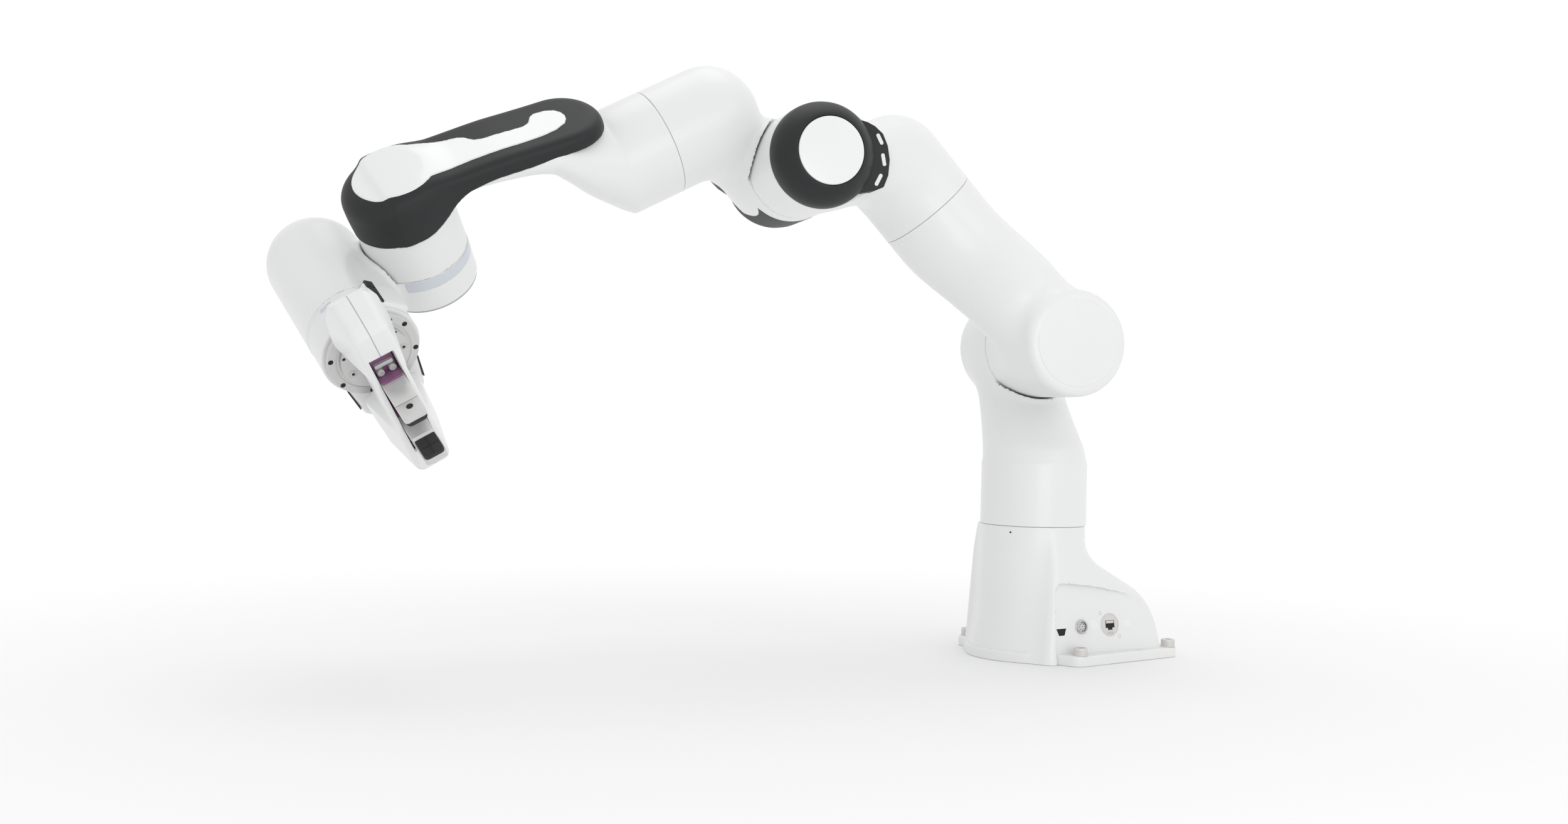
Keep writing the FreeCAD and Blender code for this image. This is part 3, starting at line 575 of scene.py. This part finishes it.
# -------------------------------------------------------------------- link 1 --
def column_field(p):
    barrel = cylinder(p, "z", 55.4, -230, -124, 3)
    neck = swept(p, "z", [(-150, 0, 0, 55.4, 55.4), (-128, 0, 0, 55.4, 55.4), (-112, 0, -3, 54.6, 53.6),
                          (-95, 0, -12, 52.5, 49.5), (-75, 0, -24, 50, 45), (-50, 0, -38, 48, 40),
                          (-20, 0, -50, 46, 38)])
    neck = smax(neck, p[:, 2] + 18, 12)
    drum = cylinder(p, "y", 55.4, -99, 40, 22)
    shell = smin(smin(barrel, neck, 4), drum, 20)
    room = cylinder(p, "y", 57.2, -12.65, 120)
    return smax(shell, -room, 1.5)


shell = sculpt("column_shell", column_field, (-62, -106, -198), (62, 62, 62), 2.0, F1, "link_1", white,
               cuts=[((0, 0, -191.8), DOWN)])
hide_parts("column_casing")
seam_ring("shoulder_seam_lip", 54.6, -16, -9.5, F1, "link_1", "y")


# -------------------------------------------------------------------- link 2 --
def upper_field(p):
    limb = swept(p, "y", [(-260, 0, 0, 53.8, 53.8), (-165, 0, 0, 53.8, 53.8), (-150, 0, 2, 53.6, 53),
                          (-130, 0, 10, 53, 49.5), (-100, 0, 27, 52, 47), (-70, 0, 40, 51, 47),
                          (-30, 0, 44, 50, 48), (0, 0, 44, 48, 48)])
    limb = smax(limb, p[:, 1] - 0, 10)
    drum = cylinder(p, "z", 55.4, -60, 98, 9)
    shell = smin(limb, drum, 16)
    room = cylinder(p, "z", 57.2, -160, -12.35)
    return smax(shell, -room, 1.5)


shell = sculpt("upper_arm_shell", upper_field, (-62, -198, -62), (62, 62, 104), 2.0, F2, "link_2", white,
               cuts=[((0, -191.8, 0), (0, -1, 0))])
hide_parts("upper_arm_casing")
cap = lathe("shoulder_cap_look", [(45.2, 95), (45.2, 98.0), (44.6, 98.5), (30, 98.9), (12, 99.05), (0, 99.1)],
            F2, "link_2", white, steps=128)
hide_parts("shoulder_cap")
seam_ring("upper_seam_lip", 52.0, 190, 194, F2 @ rotation("x", 180), "link_2", "y", 0.8)


# ------------------------------------------------------------- elbow, two halves --
def elbow_field(length):
    def field(p):
        limb = cylinder(p, "y", LIMB_R, -length - 60, -66, 0, (-ELBOW_OFFSET, 0, 0))
        ball = sphere(p, (-ELBOW_OFFSET, -66, 0), LIMB_R)
        limb = np.minimum(limb, ball)
        drum = cylinder(p, "z", 52.5, -75.0, 40, 1)
        web = tube_path(p, [(-70, -62, -16, 42), (-28, -24, -48, 42)])
        shell = smin(smin(limb, web, 18), drum, 22)
        shell = smax(shell, -75.0 - p[:, 2], 1.5)
        room = cylinder(p, "z", 54.2, -0.2, 160)
        return smax(shell, -room, 1.5)
    return field


RING_PROFILE = [(51.8, -74.9), (52.4, -75.4), (52.4, -79), (52.0, -84), (50.6, -90.5), (46.8, -97.5),
                (42.2, -103.5), (37.6, -107.8), (35.4, -109), (34.2, -109.2), (33.9, -107), (33.9, -76)]
TAB = [(-40, 2), (-51.2, 3.1), (-57, -5), (-60.5, -13), (-62, -24), (-58, -36), (-50, -48), (-38.5, -58.5),
       (-27, -64), (-17, -60.5), (-5.7, -53.6), (-5, -40)]
VENTS = [((-56.6, -21.1), (-54.1, -30.5)), ((-47.6, -39.0), (-42.0, -48.0)), ((-32.6, -53.0), (-22.0, -56.8))]
for number, E, length in ((3, E3, 124.0), (4, E4, 122.0)):
    body = "link_%d" % number
    shell = sculpt("elbow_shell_%d" % number, elbow_field(length), (-140, -length - 4, -104), (58, 58, 60),
                   2.0,
                   E, body, white, cuts=[((0, -length + 0.2, 0), (0, -1, 0))])
    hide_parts("elbow_casing_%d" % number)
    ring = lathe("elbow_cover_look_%d" % number, RING_PROFILE, E, body, dark, steps=144,
                 closed=True)
    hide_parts("elbow_cover_%d" % number)
    disc = lathe("elbow_cap_look_%d" % number, [(33.3, -104), (33.3, -109.2), (32.8, -109.9), (20, -110.3),
                                                (8, -110.45), (0, -110.5)], E, body, white_trim,
                 steps=96)
    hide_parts("elbow_cap_%d" % number)
    # Vented tab of the cover, towards the limb.
    prism("elbow_tab_%d" % number, TAB, -86, -60, E, body, dark, bevel=1.2)
    for k, (start, end) in enumerate(VENTS):
        dx, dy = end[0] - start[0], end[1] - start[1]
        middle = offset((start[0] + end[0]) / 2, (start[1] + end[1]) / 2, 0)
        turned = E @ middle @ rotation("z", math.degrees(math.atan2(dy, dx)))
        prism("elbow_vent_%d_%d" % (number, k), rounded_box(math.hypot(dx, dy) + 2, 3.8, 1.8), -86.25,
              -85.5, turned,
              body, white_trim, bevel=0)
lathe("elbow_sleeve", [(51, -24), (52.9, -24.5), (52.9, -74.4), (51, -74.9)], E4, "link_4", dark, steps=144,
      closed=True)
seam_ring("elbow_seam_lip", 50.8, -3, 3, E3, "link_3")
seam_ring("lower_seam_lip", 52.0, -264, -259.5, F5, "link_5")


# ------------------------------------------------------------------- link 5 --
def crest(z):
    """Height of the dark cover's top along the forearm."""
    return lerp_table(z, [(-250, 63), (-215, 70), (-195, 74), (-172, 77.5), (-150, 80.5), (-130, 83.5),
                          (-100, 88), (-62, 91.5), (-40, 93.5), (-15, 95.7), (0, 96), (60, 96)])[0]


def hub_field(p, swell):
    barrel = swept(p, "y", [(-20, 0, 0, 47.6, 47.6), (45, 0, 0, 47.6, 47.6), (74, 0, 0, 49.2, 49.2),
                            (120, 0, 0, 49.2, 49.2)]) - swell
    return smax(barrel, cylinder(p, "y", 49.2 + swell, -80, 96 + swell * 0.5, 19), 1.0)


def forearm_field(p):
    limb = swept(p, "z", [(-320, 0, 0, 53.8, 53.8), (-212, 0, 0, 53.8, 53.8), (-206, 0, 3.5, 53.5, 52.8),
                          (-188, 0, 18, 51.5, 47), (-171, 0, 33, 49.5, 41), (-153, 0, 51, 46.5, 31.5),
                          (-140, 0, 60, 43.5, 24), (-110, 0, 67, 41, 17), (-57, 0, 75, 40, 13),
                          (-20, 0, 76, 40, 13), (0, 0, 76, 40, 13)])
    limb = smax(limb, p[:, 2] - 10, 20)
    limb = smax(limb, p[:, 1] - crest(p[:, 2]) + 4, 8)
    hub = smax(hub_field(p, 0.0), 6.15 - p[:, 1], 0.5)
    return smin(limb, hub, 12)


def cover_body(p):
    x, y, z = p[:, 0], p[:, 1], p[:, 2]
    plan = np.where(z < -168, np.hypot(x, z + 168), np.abs(x)) - 41.5
    bar = smax(smax(plan, y - crest(z), 11), z - 10, 4)
    return smin(bar, hub_field(p, 0.9), 16)


def cover_field(p):
    floor = lerp_table(p[:, 2], [(-230, 52), (-190, 60), (-120, 68), (-75, 73), (-58, 72), (-44, 67),
                                 (-28, 58),
                                 (-12, 52), (0, 50.3), (60, 49.5)])[0]
    return smax(cover_body(p), floor - p[:, 1], 1.2)


HUB_INLAY = [(39.5 * math.sin(math.radians(a)),
              -4.5 + 39.5 * math.cos(math.radians(a))) for a in range(-132, 133, 6)]
INLAY = HUB_INLAY + [(26, -46), (23.6, -58), (22.8, -72), (22.8, -90), (23, -120), (21.5, -144),
                     (18.5, -159), (12.5, -170.5),
                     (6.5, -174.5), (0, -176), (-6.5, -175), (-12.5, -171.5), (-17, -163), (-18, -151),
                     (-14.5, -146),
                     (-6, -141), (-2.5, -134), (-3.5, -94), (-6, -87), (-15, -80), (-19, -74), (-22, -60),
                     (-26, -46)]


def inlay_field(p):
    edge = polygon_distance(p[:, 0], p[:, 2], INLAY)
    return smax(smax(cover_body(p) - 0.7, edge, 0.8), 60 - p[:, 1], 1)


shell = sculpt("forearm_shell", forearm_field, (-60, -60, -266), (60, 102, 56), 2.0, F5, "link_5", white,
               cuts=[((0, 0, -261.8), DOWN)])
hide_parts("forearm_casing")
shell = sculpt("forearm_cover_look", cover_field, (-56, 38, -216), (56, 102, 56), 1.7, F5, "link_5", dark)
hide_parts("forearm_cover")
shell = sculpt("forearm_inlay_look", inlay_field, (-46, 56, -180), (46, 104, 46), 1.5, F5, "link_5",
               white_trim)
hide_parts("forearm_inlay")
seam_ring("wrist_seam_lip", 46.0, 3.5, 8.5, F5, "link_5", "y")


# ------------------------------------------------------------------- link 6 --
def wrist_field(p):
    x, y, z = p[:, 0], p[:, 1], p[:, 2]
    ball = sphere(p, (WRIST_OFFSET, 51.5, 0), BULB_R)
    stem = cylinder(p, "y", BULB_R, -58.3, 51.5, 0, (WRIST_OFFSET, 0, 0))
    bulb = np.minimum(ball, stem)
    drum = cylinder(p, "z", 47.4, -30, 33, 4)
    web = tube_path(p, [(28, 0, 13, 18), (66, 0, 7, 32)])
    shell = smin(smin(bulb, web, 22), drum, 14)
    room = cylinder(p, "z", 49.0, -120, -5.85)
    return smax(shell, -room, 1.4)


def band_field(p):
    x, y, z = p[:, 0], p[:, 1], p[:, 2]
    strip = np.maximum(np.abs(z - 0.7) - 5.6, np.maximum(x - 30, 40 - np.hypot(x, y)))
    return smax(cylinder(p, "z", 47.9, -30, 50), strip, 0.5)


shell = sculpt("wrist_shell", wrist_field, (-52, -62, -50), (138, 102, 50), 1.9, F6, "link_6", white,
               cuts=[((0, -58.3, 0), (0, -1, 0))])
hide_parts("wrist_casing")
shell = sculpt("wrist_band_look", band_field, (-51, -51, -7), (34, 51, 9), 1.2, F6, "link_6", grey_light)
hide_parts("wrist_band")
cap = lathe("wrist_cap_look", [(44.6, 31.0), (44.6, 34.0), (43.8, 34.5), (20, 34.9), (0, 35)], F6, "link_6",
            white,
            steps=96)
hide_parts("wrist_cap")
lathe("wrist_shadow_ring", [(44.0, 31.4), (46.2, 31.9), (46.2, 33.5), (44.0, 33.5)], F6, "link_6", seam_shade_grey,
      steps=96, closed=True)
seam_ring("tool_seam_lip", 44.6, 56, 61, F7, "link_7")

# ------------------------------------------------------------------- link 7 --
body = lathe("tool_body_look", [(41, 58.65), (45.7, 58.65), (46.1, 59.1), (46.1, 61.8), (45.7, 62.1),
                                (45.7, 62.5),
                                (46.1, 62.8), (46.1, 95.2), (45.6, 95.9), (41, 95.9)],
             F7, "link_7", white, steps=144, closed=True)
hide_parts("tool_body")
lathe("tool_window", [(45, 62.6), (46.35, 62.6), (46.35, 66.6), (45, 66.6)], F7, "link_7", grey_light,
      steps=16,
      arc=(238, 254), closed=True)


def block_field(p):
    body = slab(p, (-50.5, -18, 60.5), (-20, 18, 95), 4)
    return np.maximum(body, 45.8 - np.hypot(p[:, 0], p[:, 1]))


shell = sculpt("button_block_look", block_field, (-54, -22, 57), (-36, 22, 98), 1.1, F7, "link_7", white)
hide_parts("button_block")
flange_profile = [(20, 96), (42.4, 96), (43, 96.5), (43, 101.5), (42.5, 102), (35.6, 102), (35.3, 101.5),
                  (34.5, 101.5), (34.2, 102), (30.4, 102), (30.1, 101.6), (29.5, 101.6), (29.2, 102.1),
                  (25.5, 102.1),
                  (25.2, 102.9), (20, 103)]
disc = lathe("tool_flange_look", flange_profile, F7, "link_7", alu, steps=144, closed=True)
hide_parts("tool_flange")
# Each threaded hole's bore is a near-black disc inside a steel rim: painted shade.
for k in range(8):
    a = math.radians(22.5 + 45 * k)
    lathe("flange_hole_%d" % k, [(2.9, 101.0), (2.9, 102.06), (2.5, 102.06), (2.4, 101.7), (0, 101.7)],
          F7 @ offset(39.6 * math.cos(a), 39.6 * math.sin(a), 0), "link_7", steel, steps=24)
    lathe("flange_bore_%d" % k, [(2.45, 101.8), (2.45, 102.05), (0, 102.05)],
          F7 @ offset(39.6 * math.cos(a), 39.6 * math.sin(a), 0), "link_7", painted_recess_shade, steps=20)

# The pin holes are near-black caps sunk in the flange: painted shade inside them.
for k, (hx, hy, hz) in enumerate(((25.4, -15.0, 4.35), (-27.0, -26.9, 0), (-25.4, -15.4, 4.35))):
    lathe("flange_pin_%d" % k, [(1.6, -1.4), (1.6, -0.85), (1.4, -0.8), (0, -0.8)], F9 @ offset(hx, hy, hz),
          "link_7",
          painted_recess_shade, steps=16)
# The screws' hex sockets are near-black discs: painted shade.
for k, (hx, hy) in enumerate(((24.2, 5.1), (-26.6, 4.1))):
    at = F9 @ offset(hx, hy, 4.35)
    lathe("flange_counterbore_%d" % k, [(4.4, -1.3), (4.4, -0.62), (4.1, -0.62), (3.9, -0.8), (0, -0.8)],
          at, "link_7",
          alu, steps=32)
    lathe("flange_screw_%d" % k, [(3.1, -0.8), (3.1, -0.45), (2.8, -0.3), (1.6, -0.3), (1.5, -0.7),
                                  (0, -0.7)], at,
          "link_7", steel, steps=28)
    lathe("flange_hex_%d" % k, [(1.5, -0.68), (0, -0.66)], at, "link_7", painted_recess_shade, steps=6)

BEAK = [(-38, 14), (-34.4, 40), (-31, 66), (-24, 74), (24, 74), (31, 66), (34.4, 40), (38, 14)]


def beak_field(p):
    outline = polygon_distance(p[:, 0], p[:, 1], BEAK)
    body = smax(smax(outline, p[:, 2] + 7.5, 5), -34 - p[:, 2], 5)
    return np.maximum(body, 45.0 - np.hypot(p[:, 0], p[:, 1]))


sculpt("tool_beak", beak_field, (-42, 10, -38), (42, 80, -4), 1.5, F9, "link_7", white)
for side in (-1, 1):
    run = [(side * 34.6, 33), (side * 35.9, 33), (side * 33.3, 58), (side * 32.0, 58)]
    prism("beak_strip_%d" % (side + 2), run, -15, -8.6, F9, "link_7", rubber, bevel=0.15)

# --------------------------------------------------------------------- hand --
HAND_SIDE = [(-84, 74.3), (-92, 66), (-100, 50), (-104, 42), (-98, 29), (-52, 7), (-42, 4), (42, 4),
             (52, 7), (98, 29),
             (104, 42), (100, 50), (92, 66), (84, 74.3)]


def hand_field(p):
    x, y, z = p[:, 0], p[:, 1], p[:, 2]
    side = polygon_distance(y, z, HAND_SIDE)
    wing = np.clip((np.abs(y) - 31.5) / 5.0, 0, 1)
    half = 16 + 0.17 * (74 - z) * wing - 0.2 * np.maximum(np.abs(y) - 80, 0)
    shell = smax(side + 2, np.abs(x) - half + 2, 6) - 2.0
    slot = np.maximum(np.abs(y) - 59.0, 27 - z)
    travel = np.maximum(np.maximum(np.abs(y) - 72.0, 56 - z), z - 69.5)
    trough = np.maximum(np.maximum(np.abs(y) - 86.0, 27 - z), z - 57)
    hole = np.maximum(np.minimum(np.minimum(slot, travel), trough), np.abs(x) - 11.2)
    return np.maximum(shell, -hole)


for side, name in ((-1, "left"), (1, "right")):
    shell = sculpt("hand_shell_look_" + name, hand_field, (-30, -108, 0), (30, 108, 78), 1.35, F9, "link_7",
                   white,
                   cuts=[((side * 0.12, 0, 0), (-side, 0, 0))])
    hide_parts("hand_shell_" + name)

LINER = [(-11.4, 57), (-11.4, 24), (11.4, 24), (11.4, 57), (10.4, 57), (10.4, 27), (-10.4, 27), (-10.4, 57)]
stand = F9 @ axes_frame((0, 0, 0), (1, 0, 0), (0, -1, 0))
liner = prism("trough_liner_look", LINER, -84, 84, stand, "link_7", purple, bevel=0)
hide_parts("trough_liner")

# ------------------------------------------------------------------- fingers --
def round_top(half, low, high, radius, steps=5):
    """Outline of an upright plate whose two upper corners are round."""
    points = [(-half, low), (half, low)]
    for cx, start in ((1, 0), (-1, 90)):
        for k in range(steps + 1):
            a = math.radians(start + 90 * k / steps)
            points.append((cx * (half - radius) + radius * math.cos(a), high - radius + radius * math.sin(a)))
    return points


FACE = FINGER_OPENING + 0.15
for name, facing in (("far", F9), ("near", F9 @ rotation("z", 180))):
    body = "finger_%s_body" % name
    upright = facing @ axes_frame((0, 0, 0), (-1, 0, 0), (0, 1, 0))
    finger = prism("finger_look_" + name, round_top(10.6, 107.2, 126, 4.0), FACE + 4, FACE + 10.5, upright,
                   body, alu,
                   bevel=0.4)
    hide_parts("finger_" + name)
    prism("finger_root_" + name, round_top(10.6, 60, 106.8, 0.2, 1), FACE + 4, FACE + 10.5, upright, body,
          alu, bevel=0.3)
    # The joint line between finger and root is a near-black strip: painted shade in the groove.
    prism("finger_joint_" + name, round_top(10.2, 106.5, 107.5, 0.2, 1), FACE + 4.3, FACE + 10.2, upright,
          body, painted_recess_shade,
          bevel=0)
    # The finger's hole is a near-black disc: painted shade.
    hole = upright @ offset(0, 114, 0)
    lathe("finger_hole_" + name, [(3.1, FACE + 10.6), (2.9, FACE + 10.6), (0, FACE + 10.55)], hole, body,
          painted_recess_shade, steps=32)
    prism("finger_strip_" + name, rounded_box(20.0, 6.0, 0.3, 1), FACE + 3.2, FACE + 4.2,
          upright @ offset(0, 97.4, 0), body, white_trim, bevel=0.2)
    pad = prism("pad_look_" + name, round_top(9.6, 101.7, 126.5, 4.5), FACE, FACE + 4, upright, body, rubber,
                bevel=0.8)
    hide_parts("pad_" + name)
    # The pad's cross grooves are near-black strips: painted shade in the grooves.
    prism("pad_groove_" + name, rounded_box(0.9, 24.0, 0.2, 1), FACE - 0.12, FACE + 0.2,
          upright @ offset(0, 114.1, 0), body,
          painted_recess_shade, bevel=0)
    prism("pad_cross_" + name, rounded_box(18.6, 0.9, 0.2, 1), FACE - 0.12, FACE + 0.2,
          upright @ offset(0, 114.9, 0), body,
          painted_recess_shade, bevel=0)
    prism("finger_boss_" + name, round_top(10.0, 60, 76, 1.0, 2), FACE + 10.5, FACE + 12.6, upright, body,
          purple, bevel=0.3)
    clamp = prism("belt_clamp_look_" + name, rounded_box(17.0, 4.0, 1.0, 2), 61.9, 65.5,
                  facing @ offset(0, FACE + 22.5, 0), body, alu, bevel=0.3)
    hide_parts("belt_clamp_" + name)
    for k, x in enumerate((-5.6, 5.6)):
        nut = [(0, 66.2), (1.5, 66.2), (1.6, 67.6), (3.0, 67.6), (3.3, 67.2), (3.3, 61.9)]
        lathe("clamp_nut_%s_%d" % (name, k), nut, facing @ offset(x, FACE + 16.2, 0), body, alu, steps=28)

# --------------------------------------------------- pieces kept from the frame --
KEPT = {
    "hand_adapter": alu, "hand_motor": steel, "pulley_far": steel, "pulley_near": steel,
    "belt_left": rubber, "belt_right": rubber, "button_1": dark, "button_2": dark, "button_3": dark,
    "carriage_far": purple, "carriage_near": purple,
}
for node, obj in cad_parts.items():
    finish = KEPT.get(node)
    if node.startswith(("drive_", "output_")):
        finish = steel
    if finish:
        obj.data.materials.clear()
        obj.data.materials.append(finish)

# -------------------------------------------------------------------- studio --
def studio():
    bm = bmesh.new()
    bmesh.ops.create_circle(bm, cap_ends=True, segments=128, radius=4.0)
    mesh = bpy.data.meshes.new("floor")
    bm.to_mesh(mesh)
    bm.free()
    floor = bpy.data.objects.new("floor", mesh)
    floor.location = (0.3, 0, 0)
    bpy.context.scene.collection.objects.link(floor)
    mat = bpy.data.materials.new("floor_painted_glow_fade")
    mat.use_nodes = True
    tree = mat.node_tree
    shader = tree.nodes["Principled BSDF"]
    shader.inputs["Base Color"].default_value = (0.86, 0.86, 0.86, 1)
    shader.inputs["Roughness"].default_value = 0.75
    shader.inputs["Emission Color"].default_value = (1, 1, 1, 1)
    shader.inputs["Emission Strength"].default_value = 0.0
    mesh.materials.append(mat)
    # Out from 0.2 m round its centre the floor fades from a lit pale surface into a white glow of its own:
    # painted light, which melts the floor into the white backdrop and leaves it darker round the base.
    glow = tree.nodes.new("ShaderNodeEmission")
    glow.inputs["Color"].default_value = (1, 1, 1, 1)
    glow.inputs["Strength"].default_value = 1.0
    blend = tree.nodes.new("ShaderNodeMixShader")
    coords = tree.nodes.new("ShaderNodeTexCoord")
    far = tree.nodes.new("ShaderNodeVectorMath")
    far.operation = "LENGTH"
    ramp = tree.nodes.new("ShaderNodeMapRange")
    ramp.interpolation_type = "SMOOTHSTEP"
    ramp.inputs["From Min"].default_value = 0.2
    ramp.inputs["From Max"].default_value = 1.2
    tree.links.new(coords.outputs["Object"], far.inputs[0])
    tree.links.new(far.outputs["Value"], ramp.inputs["Value"])
    tree.links.new(ramp.outputs["Result"], blend.inputs["Fac"])
    tree.links.new(shader.outputs["BSDF"], blend.inputs[1])
    tree.links.new(glow.outputs["Emission"], blend.inputs[2])
    tree.links.new(blend.outputs["Shader"], tree.nodes["Material Output"].inputs["Surface"])

    world = bpy.data.worlds.new("studio_white")
    bpy.context.scene.world = world
    world.use_nodes = True
    tree = world.node_tree
    back = tree.nodes["Background"]
    back.inputs["Color"].default_value = (1, 1, 1, 1)
    coords = tree.nodes.new("ShaderNodeTexCoord")
    facing = tree.nodes.new("ShaderNodeVectorMath")
    facing.operation = "DOT_PRODUCT"
    facing.inputs[1].default_value = (-0.6007, -0.7995, 0.0)
    glow = tree.nodes.new("ShaderNodeMapRange")
    glow.interpolation_type = "SMOOTHSTEP"
    glow.inputs["From Min"].default_value = 0.1
    glow.inputs["From Max"].default_value = 0.8
    glow.inputs["To Min"].default_value = 0.86
    glow.inputs["To Max"].default_value = 1.03
    tree.links.new(coords.outputs["Generated"], facing.inputs[0])
    tree.links.new(facing.outputs["Value"], glow.inputs["Value"])
    tree.links.new(glow.outputs["Result"], back.inputs["Strength"])

    def area(name, where, target, size, power):
        data = bpy.data.lights.new(name, "AREA")
        data.shape = "DISK"
        data.size = size
        data.energy = power
        lamp = bpy.data.objects.new(name, data)
        lamp.location = where
        lamp.rotation_euler = (Vector(target) - Vector(where)).to_track_quat("-Z", "Y").to_euler()
        bpy.context.scene.collection.objects.link(lamp)
    area("key", (0.2, -0.4, 2.3), (0.2, 0, 0.3), 1.6, 7)
    area("fill", (-0.4, 1.9, 1.2), (0.1, 0, 0.3), 1.2, 3)
    area("front", (0.7, 1.6, 0.35), (0, 0, 0.12), 1.0, 4.5)


def camera():
    right = np.array([-0.79927, 0.60045, 0.02491])
    up = np.array([0.01950, -0.01551, 0.99969])
    forward = np.array([-0.60065, -0.79951, -0.00069])
    data = bpy.data.cameras.new("photo_camera")
    data.sensor_width = 36.0
    data.sensor_fit = "HORIZONTAL"
    data.lens = 36.46
    data.clip_start = 0.01
    data.clip_end = 100
    cam = bpy.data.objects.new("photo_camera", data)
    m = Matrix.Identity(4)
    for i in range(3):
        m[i][0], m[i][1], m[i][2] = right[i], up[i], -forward[i]
    m[0][3], m[1][3], m[2][3] = 1.24803, 1.20892, 0.25613
    cam.matrix_world = m
    bpy.context.scene.collection.objects.link(cam)
    bpy.context.scene.camera = cam


studio()
camera()
scene = bpy.context.scene
scene.view_settings.view_transform = "Standard"
scene.view_settings.look = "None"
